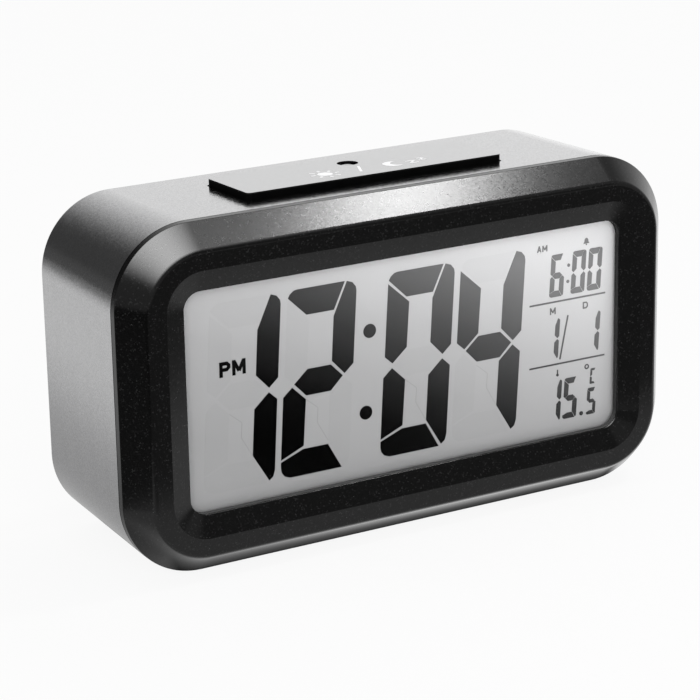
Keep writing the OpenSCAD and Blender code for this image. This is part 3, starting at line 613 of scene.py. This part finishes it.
def lens_piece(material):
    """Domed lens in the well of the bar."""
    low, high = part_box("sensor_lens")
    radius = (high.x - low.x) / 2 / MM
    tall = (high.z - low.z) / MM
    dome = 0.5
    spin = Matrix.Translation(((low.x + high.x) / 2, (low.y + high.y) / 2, low.z))
    arc = [(radius * math.cos(a), tall - dome + dome * math.sin(a)) for a in
           [math.radians(90 * k / 8) for k in range(8)]]
    bm = bmesh.new()
    lathe(bm, [(radius, 0)] + arc, spin)
    obj = make_object("lens_dome", bm, sharp=60)
    return dress(obj, material, "snooze", "lens_dark", "sensor_lens")


def bar_marks(material):
    """Printed sun, slash, moon and sleep marks on the bar."""
    bm = bmesh.new()
    mid_d = BAR_D - 3.2
    sun_x, sun_r, ray_in, ray_out, stroke = -9.5, 1.7, 2.3, 3.5, 0.6
    moon_x, moon_r, bite_x, bite_r = 7.5, 2.4, 8.8, 1.85
    sleep_stroke, sleep_marks = 0.5, ((11.8, mid_d - 0.8, 1.1), (15.0, mid_d + 0.7, 0.85))
    shapes = [disc(sun_x, mid_d, sun_r)]
    for x, y in disc(0, 0, 1, steps=8):
        shapes.append(bar_stroke(sun_x + ray_in * x, mid_d + ray_in * y,
                                 sun_x + ray_out * x, mid_d + ray_out * y, stroke))
    shapes.append(bar_stroke(-2.0, mid_d - 2.6, 0.2, mid_d + 2.6, stroke))
    shapes.append(disc(moon_x, mid_d, moon_r, 50, 310) + disc(bite_x, mid_d, bite_r, 277, 83, 16))
    for x, d, half in sleep_marks:
        for start, end in ((-half, -half), (half, half), (-half, half)):
            shapes.append(bar_stroke(x - half, d + start, x + half, d + end, sleep_stroke))
    for shape in shapes:
        flat_print(bm, shape, bar_top)
    return dress(make_object("bar_marks", bm), material, "snooze", "knob_white")


# Display layers

SEGMENTS = {
    "a": ((-6.8, 18.75), (-6.3, 19.6), (-5.4, 20.25), (-4.6, 20.4), (6.85, 20.4), (4.1, 14.6),
          (-2.5, 14.6)),
    "c": ((6.35, -0.8), (8.25, -2.57), (7.25, -18.2), (6.8, -19.6), (5.85, -20.3), (2.1, -14.1),
          (2.8, -3.93)),
    "d": ((-9.45, -17), (-3.95, -14.9), (2, -14.9), (5.25, -20.7), (-7.3, -20.7), (-8.6, -20.2),
          (-9.3, -19.3), (-9.45, -18.4)),
    "e": ((-6.3, -0.8), (-3.1, -3.91), (-3.9, -14.17), (-9.4, -16.45), (-8.5, -2.7)),
    "f": ((-6.95, 18), (-1.85, 13.4), (-2.6, 3.35), (-6.2, 0.25), (-8.05, 1.9)),
    "g": ((-5.8, -0.2), (-2.5, 2.67), (3.1, 2.67), (5.95, -0.2), (2.95, -3.1), (-3, -3.1)),
}
FIGURE_X = (-40.4, -22.2, 2.25, 20.45)
UNLIT = ("adefg", "cf", "g", "ade")
MARK_SHIFT = (0.57, -0.36)
TRACE = ((-3.1, -3.9), (-0.2, -6.3), (-0.45, -9.6), (2.1, -14.1))
TRACE_W = 0.16


def print_on_cell(bm, figure_x, outline):
    """Prints an outline on the cell at the place of a figure."""
    moved = [(figure_x + x + MARK_SHIFT[0], y + MARK_SHIFT[1]) for x, y in outline]
    flat_print(bm, moved, lambda x, y, lift: place(x, PANEL_D - lift, y))


def unlit_piece(material):
    """Unlit segments of the main figures, just visible on the cell."""
    bm = bmesh.new()
    for figure_x, names in zip(FIGURE_X, UNLIT):
        for name in names:
            print_on_cell(bm, figure_x, SEGMENTS[name])
    return dress(make_object("unlit_segments", bm), material, "case", "lcd_glass")


def trace_piece(material):
    """Thin electrode edges in the lower half of the main figures."""
    bm = bmesh.new()
    for figure_x in FIGURE_X:
        for start, end in zip(TRACE, TRACE[1:]):
            print_on_cell(bm, figure_x, bar_stroke(*start, *end, TRACE_W))
    return dress(make_object("electrode_edges", bm), material, "case", "lcd_glass")


# Pieces of the rear

def key_piece(name, body, material):
    """Round key with a soft rim and a shallow dish."""
    low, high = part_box(name)
    tall = (high.y - low.y) / MM
    flange_r = (high.x - low.x) / 2 / MM
    key_r, stem_r, rim, dish = 4.0, 1.8, 0.45, 0.22
    cover_in = COVER_D - COVER_T - (low.y - FRONT_Y) / MM
    spin = Matrix.Translation(((low.x + high.x) / 2, low.y, (low.z + high.z) / 2)) @ Matrix.Rotation(
        -math.pi / 2, 4, "X")
    crown = [(key_r - rim + rim * math.cos(a), tall - rim + rim * math.sin(a)) for a in
             [math.radians(90 * k / 5) for k in range(6)]]
    hollow = [((key_r - rim) * s, tall - dish * (1 - s * s)) for s in (0.9, 0.7, 0.45, 0.2)]
    bm = bmesh.new()
    lathe(bm, [(stem_r, 0), (stem_r, cover_in - 1), (flange_r, cover_in - 1), (flange_r, cover_in),
               (key_r, cover_in)] + crown + hollow, spin)
    return dress(make_object(name + "_cap", bm), material, body, "key_grey", name)


def rear_point(x0, h0, d):
    """Maps a mark seen from behind, with its own right and up, on to a rear surface."""
    def to_point(x, y, lift):
        return place(x0 - x, d + lift, h0 + y)
    return to_point


def bell_shapes(s):
    """Bell of a given size."""
    body = [(-0.75, -0.45), (0.75, -0.45), (0.5, -0.1), (0.42, 0.45), (0.2, 0.72), (-0.2, 0.72),
            (-0.42, 0.45), (-0.5, -0.1)]
    return [[(x * s, y * s) for x, y in body], disc(0, -0.68 * s, 0.18 * s)]


DISH_FLOOR, MARK_T = 0.19, 0.05


def key_marks(material):
    """Printed marks in the dishes of the keys."""
    arrow = [(-1.3, -0.8), (1.3, -0.8), (0, 1.1)]
    hands = [bar_stroke(0, 0, 0, 1.2, 0.3), bar_stroke(0, 0, 0.8, -0.3, 0.3)]
    dial_r, tick_r = 1.7, 0.14
    ticks = [disc(x, y, tick_r, steps=10) for x, y in disc(0, 0, dial_r, steps=12)]
    sets = {
        "time_button": ("time_key", hands + ticks), "alarm_button": ("alarm_key", bell_shapes(1.7)),
        "up_button": ("up_key", [arrow]), "down_button": ("down_key", [[(x, -y) for x, y in arrow]]),
    }
    for name, (body, shapes) in sets.items():
        low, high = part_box(name)
        x, h = (low.x + high.x) / 2 / MM, ((low.z + high.z) / 2 - MID_Z) / MM
        bm = bmesh.new()
        for shape in shapes:
            flat_print(bm, shape, rear_point(x, h, CASE_D - DISH_FLOOR), MARK_T)
        dress(make_object(name + "_mark", bm), material, body, "knob_white")


def rounded_block(bm, low, high, radius):
    """Block with rounded edges."""
    made = bmesh.ops.create_cube(bm, size=1.0)
    size, mid = high - low, (high + low) / 2
    for v in made["verts"]:
        v.co = mid + Vector(a * b for a, b in zip(v.co, size))
    edges = list({e for v in made["verts"] for e in v.link_edges})
    bmesh.ops.bevel(bm, geom=edges, offset=radius * MM, segments=3, affect="EDGES", profile=0.5)


def knob_piece(name, body, material):
    """Slide knob with three grip ridges across it."""
    low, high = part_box(name)
    foot_t, overlap, ridge, ridge_half, ridge_in, pitch = 1.5, 0.3, 0.35, 0.25, 0.3, 0.95
    foot_top = FRONT_Y + (COVER_D - COVER_T - foot_t) * MM
    shrink = Vector((0.15 * MM, 0, 0.5 * MM))
    bm = bmesh.new()
    rounded_block(bm, Vector((low.x, foot_top, low.z)),
                  Vector((high.x, high.y - ridge * MM, high.z)), 0.25)
    rounded_block(bm, Vector((low.x, low.y, low.z)) + shrink,
                  Vector((high.x, foot_top + overlap * MM, high.z)) - shrink, 0.1)
    for k in (-1, 0, 1):
        x = (low.x + high.x) / 2 + k * pitch * MM
        rounded_block(bm, Vector((x - ridge_half * MM, high.y - 2 * ridge * MM, low.z + ridge_in * MM)),
                      Vector((x + ridge_half * MM, high.y, high.z - ridge_in * MM)), 0.12)
    return dress(make_object(name + "_cap", bm), material, body, "knob_white", name)


def cover_marks(material):
    """Printed bell and lamp above the slide knobs, with a dot at the on end."""
    bulb = [disc(0, 0.3, 0.9), bar_stroke(-0.45, -1.1, 0.45, -1.1, 0.35)]
    mark_x, mark_up, dot_x, dot_r = 1.5, 4.0, 4.6, 0.45
    bm = bmesh.new()
    for name, shapes in (("alarm_slider", bell_shapes(1.5)), ("sensor_slider", bulb)):
        low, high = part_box(name)
        x, h = high.x / MM, ((low.z + high.z) / 2 - MID_Z) / MM
        for shape in shapes:
            flat_print(bm, shape, rear_point(x + mark_x, h + mark_up, COVER_D))
        flat_print(bm, disc(0, 0, dot_r), rear_point(x + dot_x, h, COVER_D))
    return dress(make_object("cover_marks", bm), material, "case", "knob_white")


def door_grip(material):
    """Ridges and an arrow moulded on the battery door."""
    low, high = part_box("battery_door")
    top_in, pitch, rise, half, thick = 9.0, 2.2, 0.3, 7.0, 0.9
    arrow, arrow_down, sink, arrow_t = [(-2.2, -0.6), (2.2, -0.6), (0, 1.6)], 11.5, 0.05, 0.25
    top = high.z - top_in * MM
    bm = bmesh.new()
    for k in range(4):
        z = top - k * pitch * MM
        rounded_block(bm, Vector((-half * MM, high.y - rise * MM, z - thick / 2 * MM)),
                      Vector((half * MM, high.y + rise * MM, z + thick / 2 * MM)), 0.25)
    flat_print(bm, arrow, rear_point(0, (top - MID_Z) / MM - arrow_down, COVER_D - sink), arrow_t)
    return dress(make_object("door_grip", bm), material, "door", "cover_black")


WIRE_R, END_TURN, PRESS = 0.25, 0.12, 1.0


def coil(bm, spin, big, small, tall, turns=4, steps=28, sides=10):
    """Coil spring with closed end turns along Z, moved by the matrix."""
    loops = []
    for i in range(turns * steps + 1):
        share = i / (turns * steps)
        a = 2 * math.pi * turns * share
        r = big + (small - big) * share
        climb = min(max((share - END_TURN) / (1 - 2 * END_TURN), 0), 1)
        rise = WIRE_R + (tall - 2 * WIRE_R) * climb
        ring = [(r + WIRE_R * math.cos(b), rise + WIRE_R * math.sin(b)) for b in
                [2 * math.pi * k / sides for k in range(sides)]]
        loops.append([spin @ Vector((q * math.cos(a) * MM, q * math.sin(a) * MM, z * MM)) for q, z in ring])
    tube(bm, loops)


def cell_springs(material):
    """Conical springs at the flat ends of the cells."""
    low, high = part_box("battery_springs")
    foot_r, tip_r, tall = 3.4, 2.2, 4.0
    bm = bmesh.new()
    for number, way in ((1, -1), (2, 1), (3, -1)):
        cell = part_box("battery_%d" % number)
        mid = (cell[0] + cell[1]) / 2
        base = Vector((high.x if way > 0 else low.x, mid.y, mid.z))
        turn = Matrix(((0, 0, -way), (1, 0, 0), (0, 1, 0))).to_4x4()
        coil(bm, Matrix.Translation(base) @ turn, foot_r, tip_r, tall)
    return dress(make_object("cell_springs", bm), material, "case", "steel", "battery_springs")


def bar_springs(material):
    """Springs that lift the press bar, on a mesh of their own."""
    low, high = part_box("snooze_springs")
    tall = (high.z - low.z) / MM
    reach = (high.y - low.y) / 2
    bm = bmesh.new()
    for x in (low.x + reach, high.x - reach):
        spin = Matrix.Translation((x, low.y + reach, low.z))
        coil(bm, spin, reach / MM - WIRE_R, reach / MM - WIRE_R, tall)
    obj = dress(make_object("bar_springs", bm), material, "case", "steel", "snooze_springs")
    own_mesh(obj)
    return obj


def paint_nodes(finishes):
    """Materials of the CAD nodes that stay."""
    for material, names in finishes:
        for name in names:
            paint(nodes[name], material)


# Stage, light and camera

CAMERA_AT = (-0.283274, -0.489147, 0.214082)
CAMERA_YAW, CAMERA_PITCH, CAMERA_ROLL = 29.771, 17.505, -1.042
CAMERA_LENS, SENSOR_W, CLIP_START = 138.15, 36, 0.01


def camera():
    """Camera at the photograph's viewing angle."""
    yaw, pitch, roll = (math.radians(v) for v in (CAMERA_YAW, CAMERA_PITCH, CAMERA_ROLL))
    ahead = Vector((math.sin(yaw) * math.cos(pitch), math.cos(yaw) * math.cos(pitch), -math.sin(pitch)))
    right = Vector((math.cos(yaw), -math.sin(yaw), 0))
    up = right.cross(ahead)
    turned = right * math.cos(roll) + up * math.sin(roll)
    upright = up * math.cos(roll) - right * math.sin(roll)
    data = bpy.data.cameras.new("camera")
    data.lens = CAMERA_LENS
    data.sensor_width = SENSOR_W
    data.clip_start = CLIP_START
    cam = bpy.data.objects.new("camera", data)
    axes = Matrix((turned, upright, -ahead)).transposed().to_4x4()
    cam.matrix_world = Matrix.Translation(CAMERA_AT) @ axes
    bpy.context.scene.collection.objects.link(cam)
    bpy.context.scene.camera = cam


ALONG_X, ALONG_Y, ACROSS_VIEW = (1.0, 0.0, 0.0), (0.0, 1.0, 0.0), (0.9355, -0.3786, 0.0)
FLOOR_GLOW, FLOOR_R = 0.9, 750
SHADE, FAR_SHARE, FRONT_SHARE, SIDE_SHARE = 0.45, 0.25, 0.2, 0.1
# Stretches in millimetres over which the painted shade in the mirrored floor grows or fades
UNDER_X, UNDER_Y = (HALF_W - 14, HALF_W - 7), (CASE_D / 2 - 7, CASE_D / 2 - 2)
SHADE_LEFT, SHADE_RIGHT, SHADE_FRONT = (-117, -88), (40, 60), (-20, 0)
SIDE_LEFT, SIDE_BACK, FAR_LEFT, FRONT = (-100, -85), (-30, 30), (-420, -180), (-85, -55)


def mirrored_floor_painted_shade(tree):
    """Share of the floor's white in mirrors, with painted shade: none under the clock, less in its shade,
    left and in front.
    """
    where = put(tree, "ShaderNodeTexCoord")
    split = put(tree, "ShaderNodeSeparateXYZ")
    tree.links.new(where.outputs["Object"], split.inputs[0])
    outside = []
    for axis, (low, high) in (("X", UNDER_X), ("Y", UNDER_Y)):
        away = number_math(tree, "ABSOLUTE", split.outputs[axis], 0.0)
        outside.append(ranged(tree, away, low * MM, high * MM, 0.0, 1.0))
    share = number_math(tree, "MAXIMUM", *outside)
    shade = along(tree, ALONG_X, *SHADE_LEFT)
    for part in (along(tree, (-1.0, 0.0, 0.0), *SHADE_RIGHT), along(tree, ALONG_Y, *SHADE_FRONT)):
        shade = number_math(tree, "MULTIPLY", shade, part)
    left = along(tree, ACROSS_VIEW, *SIDE_LEFT, SIDE_SHARE)
    for part in (ranged(tree, shade, 0.0, 1.0, 1.0, 1.0 - SHADE, False),
                 number_math(tree, "MAXIMUM", left, along(tree, ALONG_Y, *SIDE_BACK)),
                 along(tree, ACROSS_VIEW, *FAR_LEFT, FAR_SHARE),
                 along(tree, ALONG_Y, *FRONT, FRONT_SHARE)):
        share = number_math(tree, "MULTIPLY", share, part)
    return share


def floor():
    """White sheet that keeps the clock's shadow."""
    mat, tree, shader = new_material("floor_sheet")
    speckled(tree, shader, 60, (0.955, 0.955, 0.955), (0.97, 0.97, 0.97))
    uneven_gloss(tree, shader, 40, 0.75, 0.85)
    shader.inputs["Specular IOR Level"].default_value = 0.1
    glow = put(tree, "ShaderNodeEmission")
    path = put(tree, "ShaderNodeLightPath")
    # Camera rays see the floor's glow white; mirrors see it with painted shade.
    bright = number_math(tree, "MAXIMUM", path.outputs["Is Camera Ray"], mirrored_floor_painted_shade(tree))
    tree.links.new(bright, glow.inputs["Strength"])
    seen = number_math(tree, "MAXIMUM", path.outputs["Is Camera Ray"], path.outputs["Is Glossy Ray"])
    seen = number_math(tree, "MAXIMUM", seen, path.outputs["Is Transmission Ray"])
    mix = put(tree, "ShaderNodeMixShader")
    tree.links.new(number_math(tree, "MULTIPLY", seen, FLOOR_GLOW), mix.inputs[0])
    tree.links.new(shader.outputs["BSDF"], mix.inputs[1])
    tree.links.new(glow.outputs["Emission"], mix.inputs[2])
    tree.links.new(mix.outputs["Shader"], tree.nodes["Material Output"].inputs["Surface"])
    bm = bmesh.new()
    bm.faces.new([bm.verts.new((x * MM, y * MM, 0)) for x, y in disc(0, 0, FLOOR_R, steps=96)])
    obj = make_object("floor", bm)
    paint(obj, mat)


ROOM_LEVEL, WALL_LEVEL, WALL_EDGE, LOW_LEVEL = 0.58, 1.16, 0.08, 0.12
WALL_WAY, WALL_NEAR, WALL_FAR, LOW_RISE = Vector((0.754, 0.633, 0.174)), 12, 66, 14
# Dark gaps: direction, inner and outer angle in degrees, and level
GAPS = ((Vector((-0.383, 0.87, 0.31)), 18, 34, 0.08), (Vector((0.46, -0.815, 0.34)), 8, 15, 0.25))


def toward(tree, where, way, near, far, level_near, level_far):
    """Level that changes with the angle from a direction, between two angles in degrees."""
    dot = vector_math(tree, "DOT_PRODUCT", where, way.normalized())
    low, high = math.cos(math.radians(far)), math.cos(math.radians(near))
    return ranged(tree, dot.outputs["Value"], low, high, level_far, level_near)


def world():
    """Even studio with two dark gaps and one bright wall behind on the right, seen against white."""
    made = bpy.data.worlds.new("studio")
    bpy.context.scene.world = made
    made.use_nodes = True
    tree = made.node_tree
    where = put(tree, "ShaderNodeTexCoord").outputs["Generated"]
    height = put(tree, "ShaderNodeSeparateXYZ")
    tree.links.new(where, height.inputs[0])
    low_top = math.sin(math.radians(LOW_RISE))
    studio = ranged(tree, height.outputs["Z"], 0.0, low_top, LOW_LEVEL, 0.0)
    room = [toward(tree, where, way, near, far, level, ROOM_LEVEL) for way, near, far, level in GAPS]
    studio = number_math(tree, "MAXIMUM", studio, number_math(tree, "MINIMUM", *room))
    wall = toward(tree, where, WALL_WAY, WALL_NEAR, WALL_FAR, WALL_LEVEL, WALL_EDGE)
    studio = number_math(tree, "MAXIMUM", studio, wall)
    sky = tree.nodes["Background"]
    sky.inputs["Color"].default_value = (1.0, 1.0, 1.0, 1.0)
    path = put(tree, "ShaderNodeLightPath")
    shown = number_math(tree, "MAXIMUM", studio, path.outputs["Is Camera Ray"])
    tree.links.new(shown, sky.inputs["Strength"])


def softbox(name, target, direction, distance, size, radiance):
    """Lamp of a given width, height and brightness, seen from a target along a direction."""
    data = bpy.data.lights.new(name, "AREA")
    data.shape = "RECTANGLE"
    data.size, data.size_y = size
    data.energy = radiance * math.pi * size[0] * size[1]
    way = Vector(direction).normalized()
    obj = bpy.data.objects.new(name, data)
    turn = way.to_track_quat("Z", "Y").to_matrix().to_4x4()
    obj.matrix_world = Matrix.Translation(target + way * distance) @ turn
    obj.visible_camera = False
    bpy.context.scene.collection.objects.link(obj)
    return obj


def mirrored_lamp(name, shown_in, target, direction, distance, size, radiance):
    """Lamp that shows in the gloss of one collection alone and fades from its middle to its rim."""
    obj = softbox(name, target, direction, distance, size, radiance)
    obj.visible_diffuse = False
    obj.light_linking.receiver_collection = shown_in
    obj.data.use_nodes = True
    tree = obj.data.node_tree
    where = put(tree, "ShaderNodeNewGeometry")
    squares = []
    for axis in ((2.0, 0.0, 0.0), (0.0, 2.0, 0.0)):
        side = vector_math(tree, "DOT_PRODUCT", where.outputs["Parametric"], axis)
        side = number_math(tree, "SUBTRACT", side.outputs["Value"], 1.0)
        squares.append(number_math(tree, "MULTIPLY", side, side))
    away = number_math(tree, "SQRT", number_math(tree, "ADD", *squares), 0.0)
    tree.links.new(ranged(tree, away, 0.0, 1.0, 1.0, 0.0), tree.nodes["Emission"].inputs["Strength"])


def lights(bezel):
    """Key over the upper chamfer, soft fill in front, and faded lamps for the bezel's corner and rim."""
    softbox("key", target=place(0, 3, 36), direction=(0.498, -0.08, 0.863), distance=0.9,
            size=(0.08, 0.08), radiance=53.0)
    fill = softbox("fill", target=place(0, 0, 0), direction=(-0.4, -0.85, 0.35), distance=1.2,
                   size=(0.9, 0.9), radiance=2.65)
    fill.visible_glossy = False
    shown_in = bpy.data.collections.new("bezel_gloss")
    shown_in.objects.link(bezel)
    mirrored_lamp("strip", shown_in, target=place(-58, 5, 35), direction=(-0.235, -0.297, 0.925),
                  distance=0.9, size=(2.0, 2.0), radiance=18.6)
    rim = Vector((0.027, FRONT_Y + 0.75 * MM, 0.02))
    mirrored_lamp("rim", shown_in, target=rim, direction=(0.0, 0.0, -1.0), distance=0.0198,
                  size=(0.276, 0.009), radiance=3.4)


bpy.context.scene.view_settings.view_transform = "Standard"
camera()
world()
floor()

black_grain = moulded("cover_grain", (0.014, 0.014, 0.015), (0.022, 0.022, 0.023), 0.55)
key_plastic = moulded("key_plastic", (0.05, 0.05, 0.053), (0.07, 0.07, 0.073), 0.42, 2600, 0.12)
white_plastic = moulded("white_plastic", (0.66, 0.66, 0.64), (0.74, 0.74, 0.72), 0.45, 2000, 0.12)
dark_parts = moulded("dark_parts", (0.012, 0.012, 0.012), (0.024, 0.024, 0.024), 0.45)
guide = moulded("guide_plastic", (0.78, 0.8, 0.82), (0.86, 0.88, 0.9), 0.2, 1200, 0.05)
strip_rubber = moulded("strip_rubber", (0.42, 0.3, 0.32), (0.52, 0.38, 0.4), 0.7)
ribbon = moulded("ribbon_film", (0.3, 0.3, 0.29), (0.38, 0.38, 0.37), 0.5)
wire_skin = moulded("wire_skin", (0.3, 0.015, 0.012), (0.4, 0.03, 0.02), 0.4)
steel = metal("plated_steel", (0.5, 0.5, 0.5), (0.62, 0.62, 0.61), 0.3)
dull_steel = metal("black_steel", (0.2, 0.2, 0.21), (0.3, 0.3, 0.31), 0.35)
silver_paint = silver()
bar_black = gloss_black()
dark_lens = lens()
mask = board_mask()
panel = cell_layer("display_cell")
unlit = cell_layer("display_unlit", UNLIT_SHARE)
trace = cell_layer("display_trace", TRACE_SHARE)
ink = display_tone_with_painted_light("display_ink", INK_TONES, INK_RISE, 0.5, 0.01)

paint_nodes((
    (black_grain, ("rear_cover", "battery_door")),
    (clear_window(), ("display_window",)),
    (panel, ("lcd_panel",)),
    (ink, ("lcd_segments",)),
    (white_plastic, ("lcd_holder", "reflector_film", "backlight_leds")),
    (guide, ("light_guide",)),
    (strip_rubber, ("zebra_strips",)),
    (mask, ("main_board", "snooze_board", "button_board")),
    (dark_parts, ("chip_blob", "capacitor", "temp_sensor", "snooze_switch", "tact_switches", "buzzer")),
    (steel, ("crystal", "board_screws", "snooze_board_screws", "slide_switches",
             "button_board_screws", "battery_contacts")),
    (dull_steel, ("case_screws",)),
    (bar_black, ("snooze_bar",)),
    (capped_silver(), ("snooze_plate",)),
    (dark_lens, ("light_sensor",)),
    (ribbon, ("snooze_ribbon", "button_ribbon")),
    (wire_skin, ("wire_leads",)),
    (cell_sleeve("cell_right", 1.0), ("battery_1", "battery_3")),
    (cell_sleeve("cell_left", -1.0), ("battery_2",)),
))
EDGES = (("rear_cover", 0.25), ("battery_door", 0.3), ("snooze_bar", 0.15), ("snooze_plate", 0.1),
         ("case_screws", 0.12))
for name, width in EDGES:
    soften(name, width)

window_wall = moulded("window_wall", (0.0012, 0.0012, 0.0012), (0.002, 0.002, 0.002), 0.8)
bezel = bezel_piece(graphite(), window_wall)
lights(bezel)
sleeve_piece(silver_paint)
feet_piece(rubber())
lens_piece(dark_lens)
print_ink = white_print()
bar_marks(bright_print())
unlit_piece(unlit)
trace_piece(trace)
for key in ("time", "alarm", "up", "down"):
    key_piece(key + "_button", key + "_key", key_plastic)
key_marks(print_ink)
for knob in ("alarm", "sensor"):
    knob_piece(knob + "_slider", knob + "_knob", white_plastic)
cover_marks(print_ink)
door_grip(black_grain)
cell_springs(steel)
bar_springs(steel)
